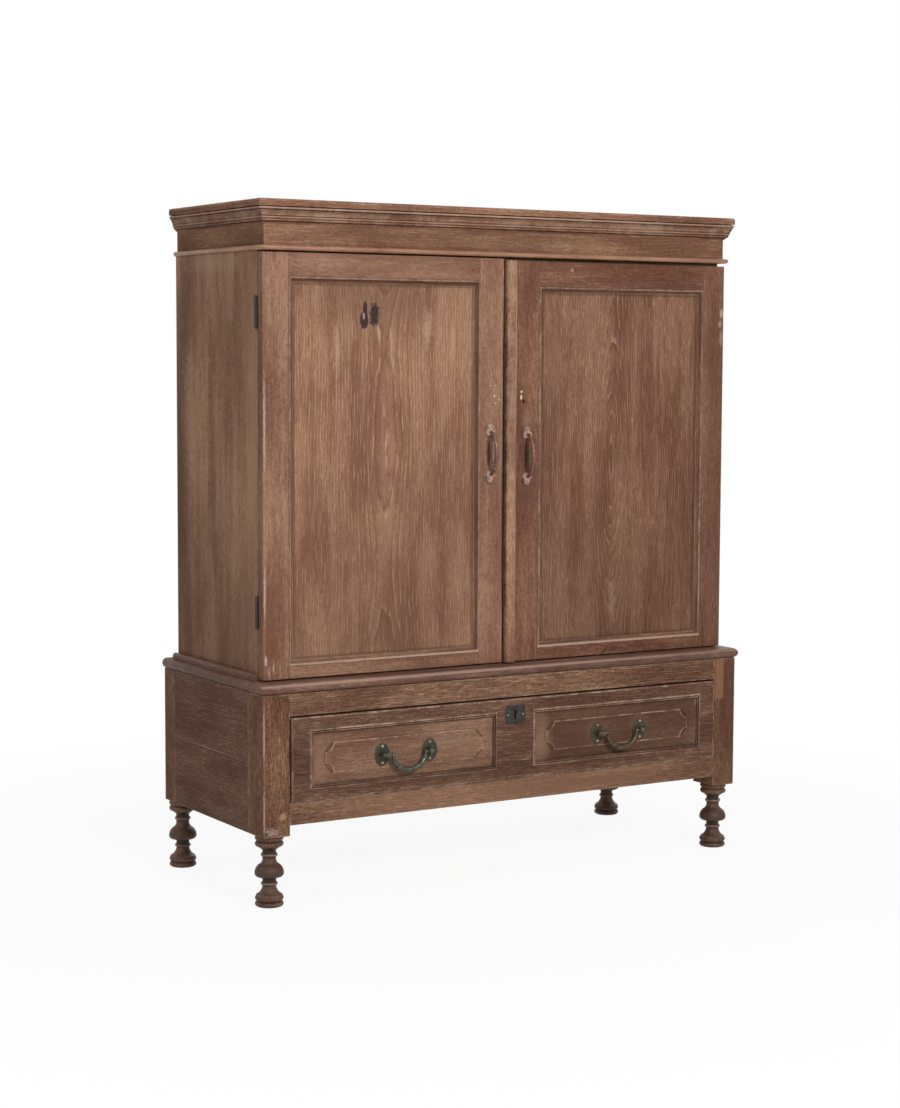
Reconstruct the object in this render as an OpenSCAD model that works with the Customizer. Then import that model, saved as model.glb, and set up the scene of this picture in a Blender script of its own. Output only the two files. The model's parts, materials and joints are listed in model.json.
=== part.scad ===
/* [Base] */
// Width over the posts of the base
base_w = 1100; // [1040:1:1160]
// Depth over the posts of the base
base_d = 444; // [424:1:480]
// Height of the turned feet
foot_h = 135; // [130:1:150]
// Height of the posts above the feet
post_h = 268; // [250:1:300]
// Width of a post, seen from the front
post_w = 55; // [50:1:62]
// Depth of a front post, seen from the side
post_front_d = 66; // [58:1:74]
// Depth of a rear post, seen from the side
post_rear_d = 46; // [42:1:54]
// Thickness of the front rails
rail_t = 30; // [26:1:36]
// Height of the rail above the drawer
top_rail_h = 42; // [36:1:48]
// Height of the rail below the drawer
bottom_rail_h = 43; // [36:1:48]
// Distance that the posts reach below the bottom rail
bottom_rail_lift = 20; // [12:1:28]
// Thickness of the side boards of the base
base_side_t = 20; // [18:1:24]
// Thickness of the back board of the base
base_back_t = 16; // [14:1:20]
// Distance from the rear of the posts to the back board
base_back_inset = 8; // [4:1:12]
// Thickness of the deck that carries the case
deck_t = 20; // [16:1:24]
// Overhang of the round nosing past the posts
nosing_overhang = 5; // [3:1:9]
// Width of the nosing strips
nosing_w = 44; // [36:1:54]
// Width of the moulding that keeps the case in place
keeper_w = 12; // [9:1:14]
// Height of the moulding that keeps the case in place
keeper_h = 13; // [10:1:16]

/* [Turned feet] */
// Radius of the pads and the upper rings
foot_r = 27; // [25:0.5:28]
// Radius of the bell at its widest
bell_r = 27.7; // [26:0.1:29]
// Radius of the slim necks
neck_r = 13; // [12:0.5:14]
// Radius of the small beads on the necks
neck_bead_r = 16; // [15:0.5:17]
// Radius of the spigot that holds a foot in its post
spigot_r = 12; // [9:0.5:12.5]
// Length of the spigot
spigot_l = 24; // [20:1:25]

/* [Case] */
// Distance from the side of the base to the side of the case
case_inset = 17; // [15:1:24]
// Height of the case between the deck and the cornice
case_h = 799; // [740:1:840]
// Distance from the rear of the base to the rear of the case
case_rear_inset = 29; // [20:1:36]
// Thickness of the boards of the case
case_t = 20; // [18:1:24]
// Depth of the grooves that house the floor and the ceiling
housing = 6; // [4:1:8]
// Thickness of the back planks
plank_t = 14; // [12:1:18]
// Number of back planks
planks = 6; // [4:1:8]
// Thickness of the insulation behind the liner
insulation_t = 22; // [16:1:30]
// Thickness of the zinc sheet
zinc_t = 1.5; // [1:0.1:2]
// Depth of the wooden frame round the mouth of the liner
mouth_d = 24; // [22:1:30]
// Lip of the mouth frame inside the liner
mouth_lip = 2.5; // [2:0.5:5]

/* [Cornice] */
// Distance from the side of the case to the face of the frieze
frieze_inset = 3; // [1:0.5:5]
// Distance from the face of the doors to the face of the frieze
frieze_setback = 1; // [0:0.5:3]
// Height of the frieze boards
frieze_h = 93; // [84:1:104]
// Thickness of the frieze boards
frieze_t = 20; // [17:1:24]
// Thickness of the dust board between the tops of the frieze boards
dust_t = 12; // [10:1:16]
// Height of the crown moulding
crown_h = 45; // [42:1:50]
// Projection of the crown moulding
crown_p = 17; // [16:0.5:20]
// Height of the bead under the frieze
bead_h = 9.5; // [8:0.5:11]
// Projection of the bead under the frieze
bead_p = 8; // [6:0.5:10]

/* [Doors] */
// Distance from the front of the posts to the face of the doors
door_setback = 33.5; // [28:0.5:40]
// Thickness of the doors
door_t = 20; // [18:1:24]
// Place of the meeting gap, from the middle of the case
meeting_x = -6; // [-12:1:0]
// Gap between the two doors
meeting_gap = 4; // [3:0.5:6]
// Gap under the doors
door_gap_bottom = 3; // [2:0.5:5]
// Gap above the left door
left_gap_top = 3; // [2:0.5:5]
// Gap above the right door, which hangs a little low
right_gap_top = 6; // [3:0.5:8]
// Width of the outer stiles
outer_stile_w = 54; // [48:1:64]
// Width of the left door's meeting stile
left_meeting_stile_w = 54; // [48:1:64]
// Width of the right door's meeting stile, under its astragal
right_meeting_stile_w = 80; // [74:1:90]
// Height of the left door's top rail
left_top_rail_h = 44; // [38:1:54]
// Height of the right door's top rail
right_top_rail_h = 50; // [44:1:60]
// Height of the bottom rails
door_bottom_rail_h = 24; // [22:1:40]
// Thickness of the door panels
panel_t = 8; // [7:0.5:9]
// Depth of a panel below the face of its door
panel_sink = 7; // [5:0.5:8]
// Depth of the grooves that hold a panel
panel_groove = 9; // [7:1:11]
// Width of the moulding round a panel
panel_mould_w = 11; // [9:0.5:13]
// Height that the moulding stands above the door
panel_mould_rise = 1; // [0.5:0.5:2]
// Width of the astragal that covers the meeting gap
astragal_w = 24; // [20:1:28]
// Length of the door tenons
door_tenon_l = 30; // [24:1:36]
// Thickness of the door tenons
door_tenon_t = 6; // [5:0.5:8]
// Thickness of the zinc-clad linings inside the doors
lining_t = 20; // [14:1:22]
// Gap between a lining and the mouth frame
lining_gap = 5; // [4:1:8]
// Distance from the meeting edge of a door to its lining
lining_meeting = 16; // [12:1:24]

/* [Hinges] */
// Height of a hinge
hinge_h = 60; // [50:1:70]
// Radius of the hinge knuckles
knuckle_r = 3; // [2.5:0.1:3.4]
// Radius of the hinge pins
hinge_pin_r = 1.5; // [1.2:0.1:1.7]
// Distance from the side of the case to the hinge line
hinge_out = 3.3; // [3.2:0.1:4.5]
// Thickness of the hinge leaves
leaf_t = 1.2; // [1:0.1:1.5]
// Width of the hinge leaves
leaf_w = 19; // [14:1:20]
// Height of the lower hinge's middle above the deck
low_hinge_z = 128; // [100:1:160]
// Distance from the top of the case to the upper hinge's middle
high_hinge_drop = 114; // [90:1:150]

/* [Pulls] */
// Length of a door pull between the tips of its leaves
pull_l = 118; // [108:1:128]
// Reach of a door pull in front of the door
pull_reach = 28; // [24:1:32]
// Radius of the grip at its middle
pull_r = 3.8; // [3:0.1:4.5]
// Thickness of the leaf plates
leaf_plate_t = 3; // [2.5:0.5:4]
// Height of the left pull's middle above the deck
left_pull_z = 417; // [380:1:450]
// Height of the right pull's middle above the deck
right_pull_z = 411; // [380:1:450]
// Distance of the left pull from the door's meeting edge
left_pull_x = 30; // [24:1:36]
// Distance of the right pull from the door's meeting edge
right_pull_x = 52; // [46:1:60]

/* [Drawer] */
// Thickness of the drawer front
drawer_front_t = 26; // [24:1:30]
// Distance that the drawer front stands proud of the posts
drawer_proud = 5; // [3:0.5:7]
// Radius of the drawer front's rounded edges
drawer_edge_r = 4; // [2:0.5:5]
// Gap beside the drawer front
drawer_gap_side = 1.5; // [1:0.1:2.5]
// Gap above the drawer front
drawer_gap_top = 3.5; // [3:0.1:5]
// Gap between the drawer and its runners
drawer_rest = 0.3; // [0.2:0.1:0.6]
// Length of the drawer from its face to its rear
drawer_l = 380; // [340:1:390]
// Thickness of the drawer sides and back
drawer_side_t = 13; // [12:1:16]
// Distance from the top of the front to the top of the sides
drawer_side_drop = 8; // [5:1:20]
// Thickness of the drawer bottom
drawer_bottom_t = 8; // [6:1:10]
// Height of the drawer bottom above the lower edge of the sides
drawer_bottom_lift = 10; // [8:1:14]
// Depth of the grooves that hold the drawer bottom
drawer_groove = 5; // [4:0.5:6]
// Number of dovetails on each side
dovetails = 4; // [3:1:5]
// Length of the dovetails
dovetail_l = 15; // [12:1:17]
// Width of the runners and the kickers
runner_w = 30; // [26:1:36]
// Height of the runners
runner_h = 22; // [18:1:30]

/* [Drawer panels] */
// Margin of wood outside each panel
field_side = 38.5; // [34:0.5:46]
// Margin of wood between a panel and the middle of the drawer
field_mid = 43; // [40:0.5:50]
// Margin of wood above the panels
field_top = 24.5; // [21:0.5:28]
// Margin of wood below the panels
field_bottom = 22; // [19:0.5:26]
// Depth of the recess that holds a panel
field_recess = 6; // [5:0.5:7]
// Width of the bead moulding round a panel
field_bead_w = 7; // [6:0.5:9]
// Rise of the bead moulding above the drawer front
field_bead_rise = 1.4; // [0.8:0.1:2]
// Thickness of a panel at its edge
field_edge_t = 2; // [1.5:0.1:3]
// Rise of the sloping border from the edge to the tablet
field_slope = 2; // [1.2:0.1:3]
// Rise of the tablet above its border
tablet_rise = 1.5; // [0.8:0.1:2]
// Width of the border beside the tablet
tablet_margin_x = 24; // [18:0.5:30]
// Width of the border above and below the tablet
tablet_margin_z = 20; // [16:0.5:24]
// Radius of the scallops at the tablet's corners
scallop_r = 18; // [12:0.5:20]

/* [Bails and lock] */
// Distance between the two posts of a bail
bail_span = 105; // [96:1:112]
// Drop of the bail below its pivots
bail_drop = 32; // [27:0.5:34]
// Radius of the bail at its middle
bail_r = 5.3; // [4:0.1:5.5]
// Radius of the bail near its ends
bail_end_r = 3.4; // [3:0.1:4]
// Radius of the bail's pivot pins
bail_pin_r = 2.4; // [2:0.1:2.8]
// Bare length of a pin between the bail and its barrel
pin_show = 4; // [2:0.5:6]
// Height of an oval back plate
rosette_h = 44; // [38:0.5:48]
// Width of an oval back plate
rosette_w = 33; // [30:0.5:36]
// Radius of the long sides of an oval back plate
rosette_side_r = 26; // [24:0.5:34]
// Thickness of an oval back plate
rosette_t = 2.5; // [2:0.1:3.5]
// Radius of the barrels that hold the bail
boss_r = 6; // [5.5:0.1:7]
// Length of the barrels that hold the bail
boss_l = 17; // [15:0.5:20]
// Radius of the post under a barrel
boss_neck_r = 5; // [4:0.1:5.4]
// Distance from the back plate to the pivot line
boss_stand = 12.5; // [11:0.5:14]
// Height of the pivot line above the middle of the panel
bail_lift = -3; // [-6:0.5:3]
// Width of the escutcheon
escutcheon_w = 46; // [40:0.5:52]
// Height of the escutcheon
escutcheon_h = 37; // [32:0.5:42]
// Thickness of the escutcheon
escutcheon_t = 1.2; // [0.8:0.1:2]
// Distance from the top of the drawer front to the middle of the escutcheon
escutcheon_drop = 31; // [28:0.5:36]
// Width of the lock
lock_w = 64; // [56:1:72]
// Height of the lock
lock_h = 46; // [42:1:54]
// Thickness of the lock
lock_t = 13; // [11:1:15]
// Width of the lock bolt
bolt_w = 24; // [18:1:30]
// Thickness of the lock bolt
bolt_t = 6; // [5:0.5:7]
// Height of the lock bolt
bolt_h = 26; // [22:1:30]
// Travel of the lock bolt
bolt_travel = 8; // [6:0.5:10]

/* [Shelf and tray] */
// Height of the shelf's top above the liner floor
shelf_z = 352; // [300:1:420]
// Thickness of the slats
slat_t = 12; // [10:1:16]
// Number of slats
slats = 6; // [4:1:8]
// Width of the gap between slats
slat_gap = 9; // [6:1:14]
// Width of the cross battens and the cleats
batten_w = 26; // [20:1:32]
// Height of the cross battens and the cleats
batten_h = 16; // [12:1:22]
// Gap round the shelf
shelf_gap = 3; // [2:0.5:5]
// Width of the ice tray
tray_w = 440; // [380:1:470]
// Height of the ice tray
tray_h = 70; // [50:1:90]
// Margin between the ice tray and the shelf's edges
tray_margin = 14; // [10:1:24]

/* [Fits] */
// Clearance in the joinery
joint_clear = 0.2; // [0.1:0.05:0.3]
// Radial clearance of the pivots
pivot_clear = 0.05; // [0.03:0.01:0.08]
// Clearance between hinge knuckles and round the lock bolt
running_clear = 0.3; // [0.25:0.05:0.4]

/* [Hidden] */

// Fineness of round shapes
$fn = 48;

// Colours of the finishes
TEAK = [0.45, 0.33, 0.25];
DARK_TEAK = [0.33, 0.24, 0.19];
FOOT_TEAK = [0.25, 0.18, 0.14];
RAW_WOOD = [0.56, 0.44, 0.32];
CORK = [0.50, 0.36, 0.22];
ZINC = [0.60, 0.62, 0.63];
BRASS = [0.28, 0.27, 0.20];
CAST = [0.36, 0.27, 0.22];
IRON = [0.22, 0.20, 0.19];

// Overshoot of cuts that go right through a piece
past = 1;

// Drawer panels: how far the tablet's face lies below the drawer front
tablet_sink = field_recess - field_edge_t - field_slope - tablet_rise;

// Base: the middle of the whole depth, from the bails to the rear feet, lies at y = 0
bail_reach = drawer_proud - tablet_sink + rosette_t + boss_stand + boss_r;
foot_overhang = max(0, max(bell_r, foot_r) - post_rear_d / 2);
base_front = -(base_d + foot_overhang - bail_reach) / 2;
base_rear = base_front + base_d;
base_half = base_w / 2;
opening_half = base_half - post_w;
post_top = foot_h + post_h;
deck_top = post_top + deck_t;
bottom_rail_z = foot_h + bottom_rail_lift;
runner_top = bottom_rail_z + bottom_rail_h;
top_rail_z = post_top - top_rail_h;
front_post_rear = base_front + post_front_d;
rear_post_front = base_rear - post_rear_d;
base_back_front = base_rear - base_back_inset - base_back_t;
deck_half = base_half + nosing_overhang - nosing_w;
deck_front = base_front - nosing_overhang + nosing_w;

// Joinery of the base
rail_tenon_l = 22;
rail_tenon_t = 10;
rail_tenon_shoulder = 6;
tongue_l = 10;
tongue_t = 8;
tongue_shoulder = 14;

// Case
case_half = base_half - case_inset;
case_inner = case_half - case_t;
hinge_gap = 2 * leaf_t + running_clear;
door_front = base_front + door_setback;
door_rear = door_front + door_t;
case_front = door_rear + hinge_gap;
case_rear = base_rear - case_rear_inset;
case_top = deck_top + case_h;
floor_top = deck_top + case_t;
ceiling_bottom = case_top - case_t;
plank_front = case_rear - plank_t;
plank_gap = 1;
plank_pitch = 2 * case_inner / planks;
plank_chamfer = 2;
keeper_setback = 1;
keeper_front = case_front + keeper_setback;

// Liner and its frame
wall_t = insulation_t + zinc_t;
liner_half = case_inner - wall_t;
liner_floor = floor_top + wall_t;
liner_ceiling = ceiling_bottom - wall_t;
liner_front = case_front + mouth_d;
liner_rear = plank_front - wall_t;
mouth_half = liner_half - mouth_lip;
mouth_floor = liner_floor + mouth_lip;
mouth_ceiling = liner_ceiling - mouth_lip;

// Cornice
frieze_half = case_half - frieze_inset;
frieze_front = door_front + frieze_setback;
frieze_top = case_top + frieze_h;
crown_bottom = frieze_top - crown_h;

// Doors, each with its outer edges and the edges of its panel opening
left_door_edge = meeting_x - meeting_gap / 2;
right_door_edge = meeting_x + meeting_gap / 2;
door_bottom = deck_top + door_gap_bottom;
left_door = [[-case_half, door_bottom], [left_door_edge, case_top - left_gap_top]];
left_open = [left_door[0] + [outer_stile_w, door_bottom_rail_h],
             left_door[1] - [left_meeting_stile_w, left_top_rail_h]];
right_door = [[right_door_edge, door_bottom], [case_half, case_top - right_gap_top]];
right_open = [right_door[0] + [right_meeting_stile_w, door_bottom_rail_h],
              right_door[1] - [outer_stile_w, right_top_rail_h]];
panel_front = door_front + panel_sink;
door_tenon_inner = panel_groove + 3;
door_tenon_outer = 4;
lining_bevel = 8;

// Hinges
hinge_x = case_half + hinge_out;
hinge_y = case_front - leaf_t - running_clear / 2;
hinge_bottoms = [deck_top + low_hinge_z - hinge_h / 2, case_top - high_hinge_drop - hinge_h / 2];
leaf_edge = hinge_x - knuckle_r - running_clear;
knuckle_h = hinge_h / 3;
pin_head_r = 2.5;
pin_head_h = 1.5;

// Drawer
drawer_half = opening_half - drawer_gap_side;
drawer_face = base_front - drawer_proud;
drawer_inside = drawer_face + drawer_front_t;
drawer_rear = drawer_face + drawer_l;
drawer_floor = runner_top + drawer_rest;
drawer_top = top_rail_z - drawer_gap_top;
drawer_h = drawer_top - drawer_floor;
side_h = drawer_h - drawer_side_drop;
side_inner = drawer_half - drawer_side_t;
bottom_z = drawer_floor + drawer_bottom_lift;
field_w = drawer_half - field_side - field_mid;
field_h = drawer_h - field_top - field_bottom;
field_x = field_mid + field_w / 2;
field_y = drawer_face + field_recess;
field_z = drawer_floor + field_bottom + field_h / 2;
plate_w = field_w - 2 * field_bead_w - 2 * joint_clear;
plate_h = field_h - 2 * field_bead_w - 2 * joint_clear;

// Bails, hung on a line in front of the drawer
tablet_face = drawer_face + tablet_sink;
bail_y = tablet_face - rosette_t - boss_stand;
bail_z = field_z + bail_lift;
bail_eye_wall = 0.6;
bail_eye_r = bail_end_r + bail_eye_wall;
bail_half = bail_span / 2 - boss_l / 2 - pin_show - bail_eye_r;
bail_pin_end = bail_span / 2 + boss_r / 2;
boss_foot = 2;

// Lock
lock_z = drawer_top - escutcheon_drop;
lock_front = drawer_inside - lock_t;
bolt_y = drawer_inside - lock_t / 2;
bolt_top = drawer_top - running_clear;
keyhole_r = 3.6;
keyhole_w = 4;
keyhole_l = 18;
escutcheon_corner = 7;

// Shelf
shelf_top = liner_floor + shelf_z;
shelf_bottom = shelf_top - slat_t;
shelf_half = liner_half - shelf_gap;
shelf_front = liner_front + shelf_gap;
shelf_rear = liner_rear - shelf_gap;
slat_w = (shelf_rear - shelf_front - (slats - 1) * slat_gap) / slats;
batten_x = 300;

// A box between two opposite corners, grown on all sides by a clearance
module block(low, high, clear = 0) {
  c = [clear, clear, clear];
  translate(low - c) cube(high - low + 2 * c);
}

// Two pieces that mirror each other across the middle of the width
module both_sides() {
  children();
  mirror([1, 0, 0]) children();
}

// A shape drawn face on: its height goes up and its thickness comes to the front
module face_on(x, y, z) {
  translate([x, y, z]) rotate([90, 0, 0]) children();
}

// Half of a flat disc with a round edge, as a turning profile
module disc_profile(r, z, h) {
  translate([0, z]) square([r - h / 2, h]);
  translate([r - h / 2, z + h / 2]) circle(d = h);
}

// A strip with a half-round outer edge, as a moulding profile
module nosed_strip(p, h) {
  square([p - h / 2, h]);
  translate([p - h / 2, h / 2]) circle(d = h);
}

// A moulding run along the front and both sides, with open seams at its two mitres.
// The profile's x is the distance from the wall and its y is the height.
module run_of_moulding(half, front, rear, reach, z, h) {
  short = half - joint_clear;
  intersection() {
    translate([0, front, z]) rotate([90, 0, -90])
      linear_extrude(2 * (half + reach), center = true) children();
    translate([0, 0, z - past]) linear_extrude(h + 2 * past) polygon([
      [-short, front], [short, front],
      [short + reach, front - reach], [-short - reach, front - reach]
    ]);
  }
  both_sides() intersection() {
    translate([half, rear, z]) rotate([90, 0, 0]) linear_extrude(rear - front + reach) children();
    translate([0, 0, z - past]) linear_extrude(h + 2 * past)
      polygon([[half, rear], [half, front], [half + reach, front - reach], [half + reach, rear]]);
  }
}

// A moulding run round the inside of a rectangle, mitred at the four corners.
// The profile's x is the distance from the rectangle's edge and its y is the rise.
module picture_frame(w, h, reach, rise) {
  for (k = [0 : 3]) {
    run = k % 2 == 0 ? w : h;
    across = k % 2 == 0 ? h : w;
    rotate([0, 0, 90 * k]) intersection() {
      translate([-run / 2, -across / 2, 0]) rotate([90, 0, 90]) linear_extrude(run) children();
      translate([0, 0, -past]) linear_extrude(rise + 2 * past) polygon([
        [-run / 2, -across / 2],
        [run / 2, -across / 2],
        [run / 2 - reach, -across / 2 + reach],
        [-run / 2 + reach, -across / 2 + reach]
      ]);
    }
  }
}

// A board whose four edges share one profile, drawn on a width and a thickness
module crossed_profiles(w, h) {
  intersection() {
    translate([-w / 2, 0, 0]) rotate([90, 0, 90]) linear_extrude(w) children(1);
    translate([0, h / 2, 0]) rotate([90, 0, 0]) linear_extrude(h) children(0);
  }
}

// A board's edge profile with rounded front corners
module rounded_profile(w, t, r) {
  translate([-w / 2, 0]) square([w, t - r]);
  translate([-w / 2 + r, 0]) square([w - 2 * r, t]);
  for (s = [-1, 1]) translate([s * (w / 2 - r), t - r]) circle(r);
}

// A board's edge profile with sloping borders
module sloped_profile(w, edge, rise, margin) {
  polygon([
    [-w / 2, 0], [w / 2, 0], [w / 2, edge], [w / 2 - margin, edge + rise],
    [-w / 2 + margin, edge + rise], [-w / 2, edge]
  ]);
}

// A round bar along half an ellipse below the x axis, thickest at its middle
module half_ellipse_bar(half_w, drop, mid_r, end_r, turns, sides) {
  points = [for (i = [0 : turns]) let (
      t = 180 * i / turns,
      p = [-half_w * cos(t), -drop * sin(t)],
      d = [half_w * sin(t), -drop * cos(t)],
      n = [-d[1], d[0]] / norm(d),
      r = end_r + (mid_r - end_r) * sin(t)
    ) for (s = [0 : sides - 1]) let (a = 360 * s / sides)
      [p[0] + r * cos(a) * n[0], p[1] + r * cos(a) * n[1], r * sin(a)]];
  walls = [for (i = [0 : turns - 1], s = [0 : sides - 1]) let (
      a = i * sides + s,
      b = i * sides + (s + 1) % sides
    ) each [[a, b + sides, b], [a, a + sides, b + sides]]];
  last = turns * sides;
  first_cap = [for (s = [1 : sides - 2]) [0, s, s + 1]];
  last_cap = [for (s = [1 : sides - 2]) [last, last + s + 1, last + s]];
  polyhedron(points, concat(walls, first_cap, last_cap));
}

// Turned foot: two pads, a flare, a beaded neck, a bell, a second neck and two rings
module foot_profile() {
  disc_h = 10;
  groove = 1;
  groove_r = foot_r - 4;
  flare_foot_r = foot_r - 2;
  flare_r = 20.5;
  flare_z = 2 * disc_h + groove;
  neck_z = flare_z + 19.5;
  bead_r = 3;
  low_bead_z = neck_z + 2.5;
  bell_z = low_bead_z + 20;
  lip_r = 7;
  shoulder_r = 20;
  shoulder_x = bell_r - shoulder_r;
  cove_r = 12;
  cove_x = neck_r + cove_r;
  cove_lap = 0.1;
  cove_z = bell_z + sqrt(pow(shoulder_r + cove_r, 2) - pow(cove_x - shoulder_x, 2)) - cove_lap;
  cove_share = cove_r / (shoulder_r + cove_r);
  cove_h = (cove_z - bell_z) * cove_share + lip_r;
  high_bead_z = cove_z + 8;
  top_ring_z = foot_h - disc_h;
  low_ring_z = top_ring_z - disc_h - groove;
  cup_r = foot_r - 5;
  cup_z = low_ring_z - 7;
  square([neck_r, foot_h]);
  disc_profile(foot_r, 0, disc_h);
  disc_profile(foot_r, disc_h + groove, disc_h);
  square([groove_r, flare_z]);
  difference() {
    translate([0, flare_z - past]) square([flare_foot_r, neck_z - flare_z + past]);
    translate([neck_r + flare_r, neck_z]) circle(flare_r);
  }
  for (z = [low_bead_z, high_bead_z]) translate([neck_bead_r - bead_r, z]) circle(bead_r);
  translate([0, bell_z - lip_r]) square([bell_r - lip_r, lip_r]);
  translate([bell_r - lip_r, bell_z]) circle(lip_r);
  intersection() {
    translate([shoulder_x, bell_z]) circle(shoulder_r);
    translate([0, bell_z]) square([bell_r + past, shoulder_r]);
  }
  difference() {
    translate([0, cove_z - cove_h]) square([cove_x - (cove_x - shoulder_x) * cove_share, cove_h]);
    translate([cove_x, cove_z]) circle(cove_r);
  }
  polygon([[0, cup_z], [neck_r, cup_z], [cup_r, low_ring_z], [0, low_ring_z]]);
  translate([0, low_ring_z]) square([groove_r, 2 * disc_h + groove]);
  disc_profile(foot_r, low_ring_z, disc_h);
  disc_profile(foot_r, top_ring_z, disc_h);
}

module foot(y) {
  color(FOOT_TEAK) translate([base_half - post_w / 2, y, 0]) {
    rotate_extrude() foot_profile();
    translate([0, 0, foot_h - past]) cylinder(r = spigot_r, h = spigot_l + past);
  }
}

front_foot_y = base_front + post_front_d / 2;
rear_foot_y = base_rear - post_rear_d / 2;

module foot_front_right() { foot(front_foot_y); }
module foot_front_left() { mirror([1, 0, 0]) foot(front_foot_y); }
module foot_rear_right() { foot(rear_foot_y); }
module foot_rear_left() { mirror([1, 0, 0]) foot(rear_foot_y); }

module spigot_hole(y) {
  translate([base_half - post_w / 2, y, foot_h - past])
    cylinder(r = spigot_r + pivot_clear, h = spigot_l + joint_clear + past);
}

// Bar that forms the tenons at both ends of a front rail
module rail_tenons(z, h, clear = 0) {
  y = base_front + (rail_t - rail_tenon_t) / 2;
  x = opening_half + rail_tenon_l;
  block([-x, y, z + rail_tenon_shoulder], [x, y + rail_tenon_t, z + h - rail_tenon_shoulder], clear);
}

// Bar that forms the tongues at both ends of the right side board
module side_tongues(clear = 0) {
  x = base_half - (base_side_t + tongue_t) / 2;
  block(
    [x, front_post_rear - tongue_l, foot_h + tongue_shoulder],
    [x + tongue_t, rear_post_front + tongue_l, post_top - tongue_shoulder],
    clear
  );
}

// Bar that forms the tongues at both ends of the back board
module back_tongues(clear = 0) {
  x = opening_half + tongue_l;
  y = base_back_front + (base_back_t - tongue_t) / 2;
  block([-x, y, bottom_rail_z + tongue_shoulder], [x, y + tongue_t, post_top - tongue_shoulder], clear);
}

module post_front() {
  color(TEAK) difference() {
    block([opening_half, base_front, foot_h], [base_half, front_post_rear, post_top]);
    spigot_hole(front_foot_y);
    rail_tenons(top_rail_z, top_rail_h, joint_clear);
    rail_tenons(bottom_rail_z, bottom_rail_h, joint_clear);
    side_tongues(joint_clear);
  }
}

module post_rear() {
  color(TEAK) difference() {
    block([opening_half, rear_post_front, foot_h], [base_half, base_rear, post_top]);
    spigot_hole(rear_foot_y);
    side_tongues(joint_clear);
    back_tongues(joint_clear);
  }
}

module post_front_right() { post_front(); }
module post_front_left() { mirror([1, 0, 0]) post_front(); }
module post_rear_right() { post_rear(); }
module post_rear_left() { mirror([1, 0, 0]) post_rear(); }

module front_rail(z, h) {
  block([-opening_half, base_front, z], [opening_half, base_front + rail_t, z + h]);
  rail_tenons(z, h);
}

// Top rail, with the mortise that catches the lock bolt
module base_top_rail() {
  color(TEAK) difference() {
    front_rail(top_rail_z, top_rail_h);
    block(
      [-bolt_w / 2, bolt_y - bolt_t / 2, top_rail_z - past],
      [bolt_w / 2, bolt_y + bolt_t / 2, bolt_top + bolt_travel],
      2 * running_clear
    );
  }
}

module base_bottom_rail() {
  color(TEAK) front_rail(bottom_rail_z, bottom_rail_h);
}

module base_right_side() {
  color(DARK_TEAK) {
    block([base_half - base_side_t, front_post_rear, foot_h], [base_half, rear_post_front, post_top]);
    side_tongues();
  }
}

module base_left_side() { mirror([1, 0, 0]) base_right_side(); }

module base_back() {
  color(DARK_TEAK) {
    block(
      [-opening_half, base_back_front, bottom_rail_z],
      [opening_half, base_back_front + base_back_t, post_top]
    );
    back_tongues();
  }
}

// Two runners under the drawer and two kickers above it
module drawer_runners() {
  color(RAW_WOOD) both_sides() for (z = [[runner_top - runner_h, runner_top], [top_rail_z, post_top]])
    block([opening_half - runner_w, base_front + rail_t, z[0]], [opening_half, base_back_front, z[1]]);
}

module deck_board() {
  color(TEAK) block([-deck_half, deck_front, post_top], [deck_half, base_rear, deck_top]);
}

module deck_nosing() {
  color(TEAK) run_of_moulding(deck_half, deck_front, base_rear, nosing_w, post_top, deck_t)
    nosed_strip(nosing_w, deck_t);
}

// Round-topped bars beside the case
module case_keepers() {
  color(DARK_TEAK) both_sides() translate([case_half, case_rear, deck_top]) rotate([90, 0, 0])
    linear_extrude(case_rear - keeper_front) {
      square([keeper_w, keeper_h - keeper_w / 2]);
      translate([keeper_w / 2, keeper_h - keeper_w / 2]) circle(d = keeper_w);
    }
}

module floor_board(clear = 0) {
  x = case_inner + housing;
  block([-x, case_front, deck_top], [x, plank_front, floor_top], clear);
}

module ceiling_board(clear = 0) {
  x = case_inner + housing;
  block([-x, case_front, ceiling_bottom], [x, plank_front, case_top], clear);
}

module case_right_side() {
  color(DARK_TEAK) difference() {
    block([case_inner, case_front, deck_top], [case_half, case_rear, case_top]);
    floor_board(joint_clear);
    ceiling_board(joint_clear);
  }
}

module case_left_side() { mirror([1, 0, 0]) case_right_side(); }

module case_floor() { color(TEAK) floor_board(); }

module case_ceiling() { color(TEAK) ceiling_board(); }

// Upright planks with chamfered rear edges
module case_back_planks() {
  w = plank_pitch - plank_gap;
  color(DARK_TEAK) for (i = [0 : planks - 1])
    translate([-case_inner + plank_pitch * (i + 0.5), plank_front, deck_top]) linear_extrude(case_h) polygon([
      [-w / 2, 0], [w / 2, 0], [w / 2, plank_t - plank_chamfer], [w / 2 - plank_chamfer, plank_t],
      [-w / 2 + plank_chamfer, plank_t], [-w / 2, plank_t - plank_chamfer]
    ]);
}

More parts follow.
